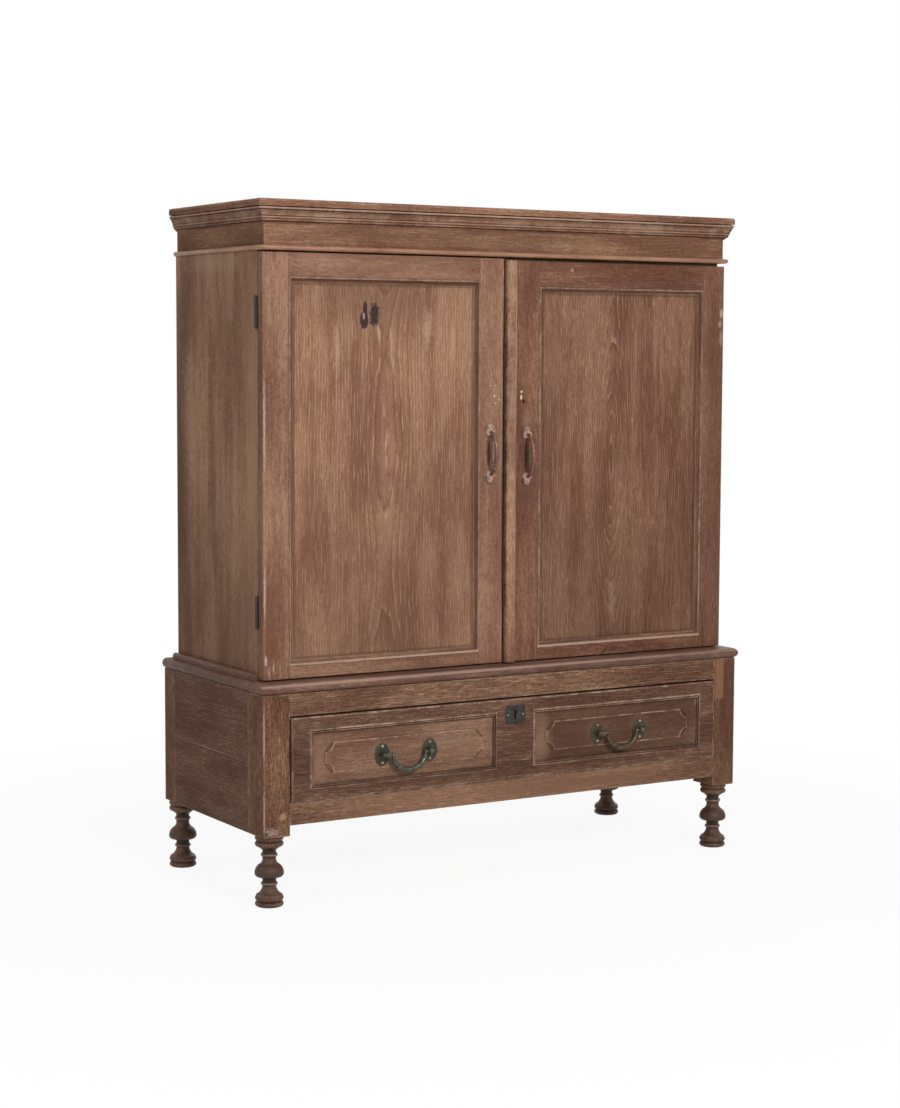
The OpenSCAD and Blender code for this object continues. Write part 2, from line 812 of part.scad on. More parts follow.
// Frieze boards, mitred in front, with the dust board let in between their tops
module cornice_box() {
  inner = frieze_half - frieze_t;
  inner_front = frieze_front + frieze_t;
  inner_rear = case_rear - frieze_t;
  seam = joint_clear;
  color(TEAK) {
    translate([0, 0, case_top]) linear_extrude(frieze_h) polygon([
      [-frieze_half + seam, frieze_front], [frieze_half - seam, frieze_front],
      [inner - seam, inner_front], [-inner + seam, inner_front]
    ]);
    both_sides() translate([0, 0, case_top]) linear_extrude(frieze_h) polygon([
      [frieze_half, frieze_front], [frieze_half, case_rear], [inner, case_rear], [inner, inner_front]
    ]);
    block([-inner + seam, inner_rear, case_top], [inner - seam, case_rear, frieze_top]);
    block(
      [-inner + seam, inner_front + seam, frieze_top - dust_t],
      [inner - seam, inner_rear - seam, frieze_top]
    );
  }
}

module frieze_bead() {
  color(TEAK) run_of_moulding(frieze_half, frieze_front, case_rear, bead_p, case_top, bead_h)
    nosed_strip(bead_p, bead_h);
}

// From the bottom: a slope, two small beads, a cove, a bead in deep grooves and a fascia with a round top edge
module crown_profile() {
  lap = 0.4;
  groove = 1.2;
  foot_p = 6;
  foot_h = 5.5;
  low_r = 2;
  low_pitch = 4.5;
  low_z = foot_h + low_r - lap;
  shelf_p = foot_p + low_r;
  cove_p = crown_p - 2.5;
  cove_z = low_z + low_pitch + low_r + groove;
  high_r = 2.4;
  high_p = crown_p - 0.8;
  body_p = crown_p - 5;
  fascia_h = 13.3;
  fascia_r = 5;
  high_z = crown_h - fascia_h - groove - high_r;
  brow_h = 1;
  brow_z = high_z - high_r - groove - brow_h;
  run = cove_p - shelf_p - lap;
  cove_r = (run * run + pow(brow_z - cove_z, 2)) / (2 * run);
  polygon([[0, 0], [foot_p, foot_h], [0, foot_h]]);
  translate([0, foot_h]) square([foot_p, cove_z - foot_h]);
  translate([0, low_z + low_pitch - low_r + lap]) square([shelf_p, 2 * low_r - lap + groove]);
  for (i = [0, 1]) translate([foot_p - lap + low_r * i, low_z + low_pitch * i]) circle(low_r);
  difference() {
    translate([0, cove_z]) square([cove_p, brow_z - cove_z]);
    translate([shelf_p + cove_r, cove_z]) circle(cove_r);
  }
  translate([0, brow_z]) square([cove_p, brow_h]);
  translate([0, brow_z]) square([body_p, crown_h - brow_z - fascia_r]);
  translate([high_p - high_r, high_z]) circle(high_r);
  translate([0, crown_h - fascia_h]) {
    square([crown_p, fascia_h - fascia_r]);
    square([crown_p - fascia_r, fascia_h]);
    translate([crown_p - fascia_r, fascia_h - fascia_r]) circle(fascia_r);
  }
}

module crown_moulding() {
  color(TEAK) run_of_moulding(frieze_half, frieze_front, case_rear, crown_p, crown_bottom, crown_h)
    crown_profile();
}

// Slabs between the case and its liner, with open seams
module insulation() {
  side = case_inner - insulation_t;
  inner = side - joint_clear;
  slab = insulation_t + joint_clear;
  color(CORK) {
    both_sides() block([side, liner_front, floor_top], [case_inner, plank_front, ceiling_bottom]);
    for (z = [floor_top, ceiling_bottom - insulation_t])
      block([-inner, liner_front, z], [inner, plank_front, z + insulation_t]);
    block(
      [-inner, plank_front - insulation_t, floor_top + slab],
      [inner, plank_front, ceiling_bottom - slab]
    );
  }
}

// Five zinc sheets with open seams
module zinc_liner() {
  rear = liner_rear + zinc_t;
  inner = liner_half - joint_clear;
  color(ZINC) {
    both_sides() block(
      [liner_half, liner_front, liner_floor - zinc_t],
      [liner_half + zinc_t, rear, liner_ceiling + zinc_t]
    );
    for (z = [liner_floor - zinc_t, liner_ceiling])
      block([-inner, liner_front, z], [inner, rear, z + zinc_t]);
    block([-inner, liner_rear, liner_floor + joint_clear], [inner, rear, liner_ceiling - joint_clear]);
  }
}

// Two uprights with a sill and a head between them
module mouth_frame() {
  inner = mouth_half - joint_clear;
  color(TEAK) {
    both_sides() block([mouth_half, case_front, floor_top], [case_inner, liner_front, ceiling_bottom]);
    for (z = [[floor_top, mouth_floor], [mouth_ceiling, ceiling_bottom]])
      block([-inner, case_front, z[0]], [inner, liner_front, z[1]]);
  }
}

module shelf_cleats() {
  color(RAW_WOOD) both_sides() block(
    [liner_half - batten_w, shelf_front, shelf_bottom - batten_h],
    [liner_half, shelf_rear, shelf_bottom]
  );
}

// Slats across the case on three battens, with open seams between them
module slatted_shelf() {
  color(RAW_WOOD) {
    for (i = [0 : slats - 1]) let (y = shelf_front + i * (slat_w + slat_gap))
      block([-shelf_half, y, shelf_bottom], [shelf_half, y + slat_w, shelf_top]);
    for (x = [-batten_x, 0, batten_x]) block(
      [x - batten_w / 2, shelf_front, shelf_bottom - batten_h],
      [x + batten_w / 2, shelf_rear, shelf_bottom - joint_clear]
    );
  }
}

// Open pan for the ice, on the left half of the shelf
module ice_tray() {
  low = [-shelf_half + tray_margin, shelf_front + tray_margin, shelf_top];
  high = [low[0] + tray_w, shelf_rear - tray_margin, shelf_top + tray_h];
  wall = [zinc_t, zinc_t, zinc_t];
  color(ZINC) difference() {
    block(low, high);
    block(low + wall, high - wall + [0, 0, 2 * zinc_t]);
  }
}

// Knuckles of one leaf at the given thirds of the hinge's height, and the leaf itself
module hinge_leaf(z, y, thirds) {
  difference() {
    union() {
      block([case_half - leaf_w, y, z], [leaf_edge, y + leaf_t, z + hinge_h]);
      for (k = thirds) {
        low = z + k * knuckle_h + running_clear / 2;
        high = z + (k + 1) * knuckle_h - running_clear / 2;
        block([leaf_edge - past, y, low], [hinge_x, y + leaf_t, high]);
        translate([hinge_x, hinge_y, low]) cylinder(r = knuckle_r, h = high - low);
      }
    }
    translate([hinge_x, hinge_y, z - past]) cylinder(r = hinge_pin_r + pivot_clear, h = hinge_h + 2 * past);
  }
}

// Pin with a head that rests on the upper knuckle
module hinge_pin(z) {
  top = z + hinge_h - running_clear / 2;
  translate([hinge_x, hinge_y, z]) cylinder(r = hinge_pin_r, h = top - z + past);
  translate([hinge_x, hinge_y, top]) cylinder(r = pin_head_r, h = pin_head_h);
}

module case_hinges() {
  color(IRON) both_sides() for (z = hinge_bottoms) {
    hinge_leaf(z, case_front - leaf_t, [0, 2]);
    hinge_pin(z);
  }
}

module right_door_hinges() {
  color(IRON) for (z = hinge_bottoms) hinge_leaf(z, door_rear, [1]);
}

module left_door_hinges() { mirror([1, 0, 0]) right_door_hinges(); }

// Panel of a door, reaching into the grooves of its frame
module door_panel(open, clear = 0) {
  reach = panel_groove - joint_clear;
  block(
    [open[0][0] - reach, panel_front, open[0][1] - reach],
    [open[1][0] + reach, panel_front + panel_t, open[1][1] + reach],
    clear
  );
}

// Bars that form the tenons of a door's two rails
module door_tenons(door, open, clear = 0) {
  y = door_front + (door_t - door_tenon_t) / 2;
  x = [open[0][0] - door_tenon_l, open[1][0] + door_tenon_l];
  block(
    [x[0], y, door[0][1] + door_tenon_outer],
    [x[1], y + door_tenon_t, open[0][1] - door_tenon_inner],
    clear
  );
  block(
    [x[0], y, open[1][1] + door_tenon_inner],
    [x[1], y + door_tenon_t, door[1][1] - door_tenon_outer],
    clear
  );
}

module door_stiles(door, open) {
  color(TEAK) difference() {
    union() {
      block([door[0][0], door_front, door[0][1]], [open[0][0], door_rear, door[1][1]]);
      block([open[1][0], door_front, door[0][1]], [door[1][0], door_rear, door[1][1]]);
    }
    door_tenons(door, open, joint_clear);
    door_panel(open, joint_clear);
  }
}

module door_rails(door, open) {
  color(TEAK) difference() {
    union() {
      block([open[0][0], door_front, door[0][1]], [open[1][0], door_rear, open[0][1]]);
      block([open[0][0], door_front, open[1][1]], [open[1][0], door_rear, door[1][1]]);
      door_tenons(door, open);
    }
    door_panel(open, joint_clear);
  }
}

// Hollow moulding with a flat outer edge, planted round a panel
module door_moulding(open) {
  size = open[1] - open[0];
  middle = (open[0] + open[1]) / 2;
  rise = panel_sink + panel_mould_rise;
  hollow_out = 1;
  hollow_up = 1.5;
  hollow_r = panel_mould_w - 2.7;
  color(TEAK) face_on(middle[0], panel_front, middle[1])
    picture_frame(size[0], size[1], panel_mould_w, rise) difference() {
      square([panel_mould_w, rise]);
      translate([panel_mould_w + hollow_out, rise + hollow_up]) circle(hollow_r);
    }
}

// Trefoil plate at one end of a pull, its tip at y = 0
module leaf_outline() {
  tip_r = 6.5;
  lobe_r = 7.5;
  lobe_x = 4.2;
  lobe_y = -18.5;
  translate([0, -tip_r]) circle(tip_r);
  translate([0, (lobe_y - tip_r) / 2]) circle(tip_r);
  for (s = [-1, 1]) translate([s * lobe_x, lobe_y]) circle(lobe_r);
}

// Bowed grip between two leaf plates
module door_pull(x, z) {
  leaf_root = 17;
  taper = 0.6;
  sink = 1;
  color(CAST) face_on(x, door_front, z) {
    for (s = [0, 1]) mirror([0, s, 0]) translate([0, pull_l / 2, 0])
      linear_extrude(leaf_plate_t) leaf_outline();
    translate([0, 0, sink]) rotate([-90, 0, 90])
      half_ellipse_bar(pull_l / 2 - leaf_root, pull_reach - pull_r - sink, pull_r, pull_r - taper, 20, 10);
  }
}

// Zinc-clad board with bevelled edges inside a door
module door_lining(x0, x1) {
  z = [mouth_floor + lining_gap, mouth_ceiling - lining_gap];
  w = x1 - x0;
  h = z[1] - z[0];
  edge = lining_t - lining_bevel;
  color(ZINC) translate([(x0 + x1) / 2, door_rear, (z[0] + z[1]) / 2])
    rotate([-90, 0, 0]) crossed_profiles(w, h) {
      sloped_profile(w, edge, lining_bevel, lining_bevel);
      sloped_profile(h, edge, lining_bevel, lining_bevel);
    }
}

module left_door_stiles() { door_stiles(left_door, left_open); }
module left_door_rails() { door_rails(left_door, left_open); }
module left_door_panel() { color(TEAK) door_panel(left_open); }
module left_door_moulding() { door_moulding(left_open); }
module left_door_pull() { door_pull(left_door_edge - left_pull_x, deck_top + left_pull_z); }
module left_door_lining() { door_lining(-mouth_half + lining_gap, left_door_edge - lining_meeting); }

module right_door_stiles() { door_stiles(right_door, right_open); }
module right_door_rails() { door_rails(right_door, right_open); }
module right_door_panel() { color(TEAK) door_panel(right_open); }
module right_door_moulding() { door_moulding(right_open); }
module right_door_pull() { door_pull(right_door_edge + right_pull_x, deck_top + right_pull_z); }
module right_door_lining() { door_lining(right_door_edge + lining_meeting, mouth_half - lining_gap); }

// Half-round strip planted along the right door's meeting edge
module right_door_astragal() {
  color(TEAK) translate([right_door_edge + astragal_w / 2, door_front, door_bottom])
    linear_extrude(right_door[1][1] - door_bottom) intersection() {
      circle(d = astragal_w);
      translate([-astragal_w / 2, -astragal_w / 2]) square([astragal_w, astragal_w / 2]);
    }
}

// Dovetails of the right drawer side, wider at their ends
module side_tails(clear = 0) {
  pitch = side_h / dovetails;
  root_share = 0.22;
  tip_share = 0.34;
  root = pitch * root_share + clear;
  tip = pitch * tip_share + clear;
  translate([side_inner - clear, 0, 0]) rotate([90, 0, 90]) linear_extrude(drawer_side_t + 2 * clear)
    for (i = [0 : dovetails - 1]) let (z = drawer_floor + pitch * (i + 0.5)) polygon([
      [drawer_inside + past, z - root], [drawer_inside + past, z + root],
      [drawer_inside, z + root], [drawer_inside - dovetail_l - clear, z + tip],
      [drawer_inside - dovetail_l - clear, z - tip], [drawer_inside, z - root]
    ]);
}

module bottom_board(clear = 0) {
  x = side_inner + drawer_groove - joint_clear;
  block(
    [-x, drawer_inside - drawer_groove + joint_clear, bottom_z],
    [x, drawer_rear, bottom_z + drawer_bottom_t],
    clear
  );
}

module lock_body(clear = 0) {
  block([-lock_w / 2, lock_front, drawer_top - lock_h], [lock_w / 2, drawer_inside, drawer_top], clear);
}

module keyhole_outline() {
  translate([0, keyhole_l / 2 - keyhole_r]) circle(keyhole_r);
  translate([-keyhole_w / 2, -keyhole_l / 2]) square([keyhole_w, keyhole_l - keyhole_r]);
}

module keyhole(depth) {
  face_on(0, drawer_face + depth, lock_z) linear_extrude(depth + escutcheon_t + past) keyhole_outline();
}

// Board with rounded edges, panel recesses, dovetail sockets, a groove and the lock's recess
module drawer_front() {
  w = 2 * drawer_half;
  color(TEAK) difference() {
    face_on(0, drawer_inside, drawer_floor + drawer_h / 2) crossed_profiles(w, drawer_h) {
      rounded_profile(w, drawer_front_t, drawer_edge_r);
      rounded_profile(drawer_h, drawer_front_t, drawer_edge_r);
    }
    both_sides() {
      face_on(field_x, field_y, field_z)
        translate([-field_w / 2, -field_h / 2, 0]) cube([field_w, field_h, field_recess + past]);
      side_tails(joint_clear);
    }
    bottom_board(joint_clear);
    lock_body(joint_clear);
    keyhole(drawer_front_t);
  }
}

module drawer_sides() {
  color(RAW_WOOD) both_sides() difference() {
    union() {
      block([side_inner, drawer_inside, drawer_floor], [drawer_half, drawer_rear, drawer_floor + side_h]);
      side_tails();
    }
    bottom_board(joint_clear);
  }
}

module drawer_back() {
  color(RAW_WOOD) block(
    [-side_inner, drawer_rear - drawer_side_t, bottom_z + drawer_bottom_t],
    [side_inner, drawer_rear, drawer_floor + side_h]
  );
}

module drawer_bottom() { color(RAW_WOOD) bottom_board(); }

// Raised panels: a sloping border round a tablet with scalloped corners
module drawer_panels() {
  tablet = [plate_w - 2 * tablet_margin_x, plate_h - 2 * tablet_margin_z];
  color(TEAK) both_sides() face_on(field_x, field_y, field_z) {
    crossed_profiles(plate_w, plate_h) {
      sloped_profile(plate_w, field_edge_t, field_slope, tablet_margin_x);
      sloped_profile(plate_h, field_edge_t, field_slope, tablet_margin_z);
    }
    linear_extrude(field_edge_t + field_slope + tablet_rise) difference() {
      square(tablet, center = true);
      for (sx = [-1, 1], sy = [-1, 1]) translate([sx * tablet[0] / 2, sy * tablet[1] / 2]) circle(scallop_r);
    }
  }
}

// Double bead planted round each panel
module drawer_panel_beads() {
  outer_r = 2;
  inner_r = 1.5;
  inner_drop = 1.8;
  inner_rise = field_recess - inner_drop;
  outer_rise = field_recess + field_bead_rise - outer_r;
  color(TEAK) both_sides() face_on(field_x, field_y, field_z)
    picture_frame(field_w, field_h, field_bead_w, field_recess + field_bead_rise) {
      square([field_bead_w, inner_rise]);
      square([2 * outer_r, outer_rise]);
      translate([outer_r, outer_rise]) circle(outer_r);
      translate([field_bead_w - inner_r, inner_rise]) circle(inner_r);
    }
}

// Oval outline made of a round top and bottom and two flatter sides
module oval(w, h, side_r) {
  intersection() {
    circle(d = h);
    translate([side_r - w / 2, 0]) circle(side_r);
    translate([w / 2 - side_r, 0]) circle(side_r);
  }
}

// Oval back plates, each with a barrel that takes a pin of the bail from its inner end
module bail_rosettes() {
  axis_z = rosette_t + boss_stand;
  color(BRASS) both_sides() face_on(field_x, tablet_face, bail_z) for (s = [0, 1])
    mirror([s, 0, 0]) translate([bail_span / 2, 0, 0]) difference() {
      union() {
        linear_extrude(rosette_t) oval(rosette_w, rosette_h, rosette_side_r);
        cylinder(r1 = boss_neck_r + boss_foot, r2 = boss_neck_r, h = rosette_t + boss_foot);
        cylinder(r = boss_neck_r, h = axis_z);
        translate([-boss_l / 2, 0, axis_z]) rotate([0, 90, 0]) cylinder(r = boss_r, h = boss_l - boss_r);
        translate([boss_l / 2 - boss_r, 0, axis_z]) sphere(boss_r);
      }
      translate([-boss_l / 2 - past, 0, axis_z]) rotate([0, 90, 0])
        cylinder(r = bail_pin_r + pivot_clear, h = (boss_l + boss_r) / 2 + past + running_clear);
    }
}

module escutcheon() {
  w = escutcheon_w;
  h = escutcheon_h;
  c = escutcheon_corner;
  color(BRASS) difference() {
    face_on(0, drawer_face, lock_z) linear_extrude(escutcheon_t) {
      square([w - 2 * c, h], center = true);
      square([w, h - 2 * c], center = true);
      for (sx = [-1, 1], sy = [-1, 1]) translate([sx * (w / 2 - c), sy * (h / 2 - c)]) circle(c);
    }
    keyhole(past);
  }
}

// Lock body with a guide for the bolt, open at the top, and a way in for the key
module lock_case() {
  color(IRON) difference() {
    lock_body();
    block(
      [-bolt_w / 2, bolt_y - bolt_t / 2, bolt_top - bolt_h],
      [bolt_w / 2, bolt_y + bolt_t / 2, drawer_top + past],
      running_clear
    );
    keyhole(bolt_y - drawer_face);
  }
}

module lock_bolt() {
  color(IRON) block(
    [-bolt_w / 2, bolt_y - bolt_t / 2, bolt_top - bolt_h],
    [bolt_w / 2, bolt_y + bolt_t / 2, bolt_top]
  );
}

// Hanging handle that turns on two pins
module bail() {
  color(BRASS) face_on(field_x, bail_y, bail_z) {
    half_ellipse_bar(bail_half, bail_drop, bail_r, bail_end_r, 22, 12);
    for (s = [0, 1]) mirror([s, 0, 0]) translate([bail_half, 0, 0]) {
      sphere(bail_eye_r);
      rotate([0, 90, 0]) cylinder(r = bail_pin_r, h = bail_pin_end - bail_half);
    }
  }
}

module right_bail() { bail(); }
module left_bail() { mirror([1, 0, 0]) bail(); }

foot_front_left();
foot_front_right();
foot_rear_left();
foot_rear_right();
post_front_left();
post_front_right();
post_rear_left();
post_rear_right();
base_top_rail();
base_bottom_rail();
base_left_side();
base_right_side();
base_back();
drawer_runners();
deck_board();
deck_nosing();
case_keepers();
case_left_side();
case_right_side();
case_floor();
case_ceiling();
case_back_planks();
cornice_box();
frieze_bead();
crown_moulding();
insulation();
zinc_liner();
mouth_frame();
shelf_cleats();
slatted_shelf();
ice_tray();
case_hinges();
left_door_stiles();
left_door_rails();
left_door_panel();
left_door_moulding();
left_door_pull();
left_door_lining();
left_door_hinges();
right_door_stiles();
right_door_rails();
right_door_panel();
right_door_moulding();
right_door_pull();
right_door_lining();
right_door_hinges();
right_door_astragal();
drawer_front();
drawer_sides();
drawer_back();
drawer_bottom();
drawer_panels();
drawer_panel_beads();
bail_rosettes();
escutcheon();
lock_case();
lock_bolt();
left_bail();
right_bail();
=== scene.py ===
"""Panelled two-door cabinet on a drawer stand, dressed for a studio view."""

import json
import logging
import math
import random
from dataclasses import dataclass, replace
from enum import Enum
from typing import Any, Dict, List, Optional, Sequence, Set, Tuple, Union

import bmesh
import bpy
from bmesh.types import BMEdge, BMesh, BMFace, BMVert
from mathutils import Matrix, Vector


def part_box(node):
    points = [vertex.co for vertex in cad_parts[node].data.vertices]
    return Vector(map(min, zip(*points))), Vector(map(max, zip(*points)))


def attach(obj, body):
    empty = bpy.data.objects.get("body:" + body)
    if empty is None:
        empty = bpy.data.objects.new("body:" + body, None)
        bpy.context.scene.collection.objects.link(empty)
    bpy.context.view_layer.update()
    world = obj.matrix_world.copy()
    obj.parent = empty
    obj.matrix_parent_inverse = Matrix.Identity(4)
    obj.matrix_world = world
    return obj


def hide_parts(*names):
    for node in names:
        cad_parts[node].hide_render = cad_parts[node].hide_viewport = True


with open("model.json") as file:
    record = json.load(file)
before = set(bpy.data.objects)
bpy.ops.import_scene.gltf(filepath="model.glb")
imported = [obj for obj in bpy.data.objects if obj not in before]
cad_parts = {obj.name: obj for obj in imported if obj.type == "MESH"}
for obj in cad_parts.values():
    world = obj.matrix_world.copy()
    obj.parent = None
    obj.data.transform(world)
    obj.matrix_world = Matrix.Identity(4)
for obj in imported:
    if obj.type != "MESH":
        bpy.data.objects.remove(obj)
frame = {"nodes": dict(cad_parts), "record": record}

LOG = logging.getLogger("cabinet")
MM = 0.001
NO_LINE = 0.0
BAND_REACH = 2.0
BACKWARDS = (0.0, 1.0, 0.0)
WHITE = (1.0, 1.0, 1.0, 1.0)
FLOOR_WHITE = (0.9, 0.9, 0.9, 1.0)

RGB = Tuple[float, float, float]
Point = Tuple[float, float, float]
Pair = Tuple[float, float]
Value = Union["Link", float]
Shade = Union["Link", RGB]


def paint(red: int, green: int, blue: int) -> RGB:
    """Turns a display colour of 0 to 255 into the linear colour that a shader takes.

    Args:
        red: Red part.
        green: Green part.
        blue: Blue part.

    Returns:
        The linear colour.
    """

    def linear(part: int) -> float:
        """Undoes the display curve of one part."""
        share = part / 255.0
        return share / 12.92 if share <= 0.04045 else ((share + 0.055) / 1.055) ** 2.4

    return linear(red), linear(green), linear(blue)


def tint(colour: RGB, red: float, green: float, blue: float) -> RGB:
    """Shifts a colour by a factor for each part."""
    return colour[0] * red, colour[1] * green, colour[2] * blue


class Link:
    """A shader socket that adds Math nodes when it is used in an expression."""

    def __init__(self, tree: "Tree", socket: bpy.types.NodeSocket) -> None:
        """Keeps the tree and the socket."""
        self.tree = tree
        self.socket = socket

    def _math(self, operation: str, first: Value, second: Value = 0.0) -> "Link":
        """Adds one Math node for an operation on two values."""
        return self.tree.node("ShaderNodeMath", {"operation": operation}, {0: first, 1: second})

    def __add__(self, other: Value) -> "Link":
        """Adds."""
        return self._math("ADD", self, other)

    __radd__ = __add__

    def __sub__(self, other: Value) -> "Link":
        """Takes away."""
        return self._math("SUBTRACT", self, other)

    def __rsub__(self, other: Value) -> "Link":
        """Is taken away from a number."""
        return self._math("SUBTRACT", other, self)

    def __mul__(self, other: Value) -> "Link":
        """Multiplies."""
        return self._math("MULTIPLY", self, other)

    __rmul__ = __mul__

    def __truediv__(self, other: Value) -> "Link":
        """Divides."""
        return self._math("DIVIDE", self, other)

    def root(self) -> "Link":
        """Takes the square root."""
        return self._math("SQRT", self)

    def part(self) -> "Link":
        """Keeps the part after the point."""
        return self._math("FRACT", self)

    def size(self) -> "Link":
        """Drops the sign."""
        return self._math("ABSOLUTE", self)

    def most(self, other: Value) -> "Link":
        """Takes the larger of two values."""
        return self._math("MAXIMUM", self, other)

    def least(self, other: Value) -> "Link":
        """Takes the smaller of two values."""
        return self._math("MINIMUM", self, other)

    def step(self, low: float, high: float) -> "Link":
        """Rises smoothly from 0 at the low value to 1 at the high value.

        Args:
            low: Value that gives 0.
            high: Value that gives 1.

        Returns:
            The smooth step.
        """
        settings = {"interpolation_type": "SMOOTHSTEP"}
        return self.tree.node("ShaderNodeMapRange", settings, {0: self, 1: low, 2: high, 3: 0.0, 4: 1.0})


class Tree:
    """Builds the nodes of one material or of the world."""

    def __init__(self, name: str, world: bool = False) -> None:
        """Starts an empty material or world.

        Args:
            name: Name of the material or world.
            world: Whether it is a world.
        """
        self.owner = (bpy.data.worlds if world else bpy.data.materials).new(name)
        self.owner.use_nodes = True
        self.nodes = self.owner.node_tree.nodes
        self.links = self.owner.node_tree.links
        self.nodes.clear()

    def node(
        self,
        kind: str,
        settings: Optional[Dict[str, Any]] = None,
        inputs: Optional[Dict[Union[int, str], Any]] = None,
        output: Union[int, str] = 0,
    ) -> Link:
        """Adds one node.

        Args:
            kind: Type of the node.
            settings: Properties that are set before the sockets.
            inputs: Value or link of each socket, by index or name.
            output: Output that the returned link reads.

        Returns:
            The link to that output.
        """
        made = self.nodes.new(kind)
        for key, value in (settings or {}).items():
            setattr(made, key, value)
        for key, value in (inputs or {}).items():
            if isinstance(value, Link):
                self.links.new(value.socket, made.inputs[key])
            else:
                made.inputs[key].default_value = value
        return Link(self, made.outputs[output]) if len(made.outputs) else Link(self, made.inputs[0])

    def vector(self, x: Value, y: Value, z: Value) -> Link:
        """Joins three values."""
        return self.node("ShaderNodeCombineXYZ", None, {0: x, 1: y, 2: z})

    def split(self, vector: Link) -> Tuple[Link, Link, Link]:
        """Parts a vector into three values."""
        made = self.node("ShaderNodeSeparateXYZ", None, {0: vector}).socket.node
        return Link(self, made.outputs[0]), Link(self, made.outputs[1]), Link(self, made.outputs[2])

    def attribute(self, name: str, output: str = "Fac") -> Link:
        """Reads an attribute of the mesh."""
        return self.node("ShaderNodeAttribute", {"attribute_name": name}, None, output)

    def place(self) -> Link:
        """Reads the point on the piece, in metres."""
        return self.node("ShaderNodeTexCoord", None, None, "Object")

    def noise(self, vector: Link, scale: float = 1.0, detail: float = 2.0, roughness: float = 0.5) -> Link:
        """Adds a cloud noise of 0 to 1.

        Args:
            vector: Point at which the noise is read.
            scale: Clouds per unit.
            detail: Finer layers.
            roughness: Weight of the finer layers.

        Returns:
            The noise value.
        """
        inputs = {"Vector": vector, "Scale": scale, "Detail": detail, "Roughness": roughness}
        return self.node("ShaderNodeTexNoise", None, inputs, 0)

    def seen(self) -> Link:
        """Tells the rays that show the background from those that light the object.

        Returns:
            1 for a ray that shows the background, else 0.
        """
        path = self.node("ShaderNodeLightPath").socket.node.outputs
        seen = Link(self, path["Is Camera Ray"]).most(Link(self, path["Is Glossy Ray"]))
        return seen.most(Link(self, path["Is Transmission Ray"]))

    def cells(self, vector: Link, scale: float, output: str = "Distance") -> Link:
        """Adds a cell pattern."""
        return self.node("ShaderNodeTexVoronoi", None, {"Vector": vector, "Scale": scale}, output)

    def blend(self, share: Value, first: Shade, second: Shade, mode: str = "MIX") -> Link:
        """Mixes two colours.

        Args:
            share: Share of the second colour.
            first: First colour.
            second: Second colour.
            mode: Blend mode.

        Returns:
            The mixed colour.
        """

        def colour(value: Shade) -> Any:
            """Gives a plain colour its fourth part."""
            return value if isinstance(value, Link) else (*value, 1.0)

        settings = {"data_type": "RGBA", "blend_type": mode, "clamp_factor": True}
        return self.node("ShaderNodeMix", settings, {0: share, 6: colour(first), 7: colour(second)}, 2)

    def surface(
        self,
        colour: Link,
        roughness: Value,
        metallic: Value = 0.0,
        height: Optional[Link] = None,
        strength: float = 0.3,
        depth: float = 0.5 * MM,
        specular: float = 0.4,
    ) -> bpy.types.Material:
        """Closes the material with one Principled surface.

        Args:
            colour: Base colour.
            roughness: Roughness.
            metallic: Share of metal.
            height: Height that the bump reads.
            strength: Strength of the bump.
            depth: Depth of the bump.
            specular: Specular level.

        Returns:
            The finished material.
        """
        inputs: Dict[Union[int, str], Any] = {
            "Base Color": colour,
            "Roughness": roughness,
            "Metallic": metallic,
            "Specular IOR Level": specular,
        }
        if height is not None:
            inputs["Normal"] = self.node(
                "ShaderNodeBump", None, {"Strength": strength, "Distance": depth, "Height": height}
            )
        shader = self.node("ShaderNodeBsdfPrincipled", None, inputs)
        self.node("ShaderNodeOutputMaterial", None, {"Surface": shader})
        return self.owner


class Outline(Enum):
    """Outlines of a mark on a board."""

    ROUND = 0
    SQUARE = 1


@dataclass(frozen=True)
class Mark:
    """A stain, filler, repair, nail hole, painted shadow or painted highlight at one place on a board."""

    centre: Point
    half: Point
    colour: RGB
    strength: float = 0.9
    ragged: float = 0.5
    soft: float = 0.3
    turn: float = 0.0
    outline: Outline = Outline.ROUND
    wander: float = 40.0

    def mask(self, tree: Tree) -> Link:
        """Gives the share of the mark at each point.

        Args:
            tree: Tree of the board's material.

        Returns:
            The share, from 0 to the mark's strength.
        """
        place = tree.place()
        turn = (0.0, self.turn, 0.0)
        inputs = {"Vector": place, "Location": self.centre, "Rotation": turn, "Scale": self.half}
        shifted = tree.node("ShaderNodeMapping", {"vector_type": "TEXTURE"}, inputs)
        if self.outline is Outline.SQUARE:
            x, y, z = tree.split(shifted)
            away = x.size().most(y.size()).most(z.size())
        else:
            away = tree.node("ShaderNodeVectorMath", {"operation": "LENGTH"}, {0: shifted}, "Value")
        spread = {0: place, 1: (self.wander, self.wander, self.wander), 2: shifted}
        at = tree.node("ShaderNodeVectorMath", {"operation": "MULTIPLY_ADD"}, spread)
        ragged = away + (tree.noise(at, 2.4, 4.0, 0.7) - 0.5) * (2.0 * self.ragged)
        return (1.0 - ragged.step(1.0 - self.soft, 1.0)) * self.strength


class Facing(Enum):
    """Ways in which an upright face of the cabinet looks."""

    SIDEWAYS = 0
    FORWARDS = 1


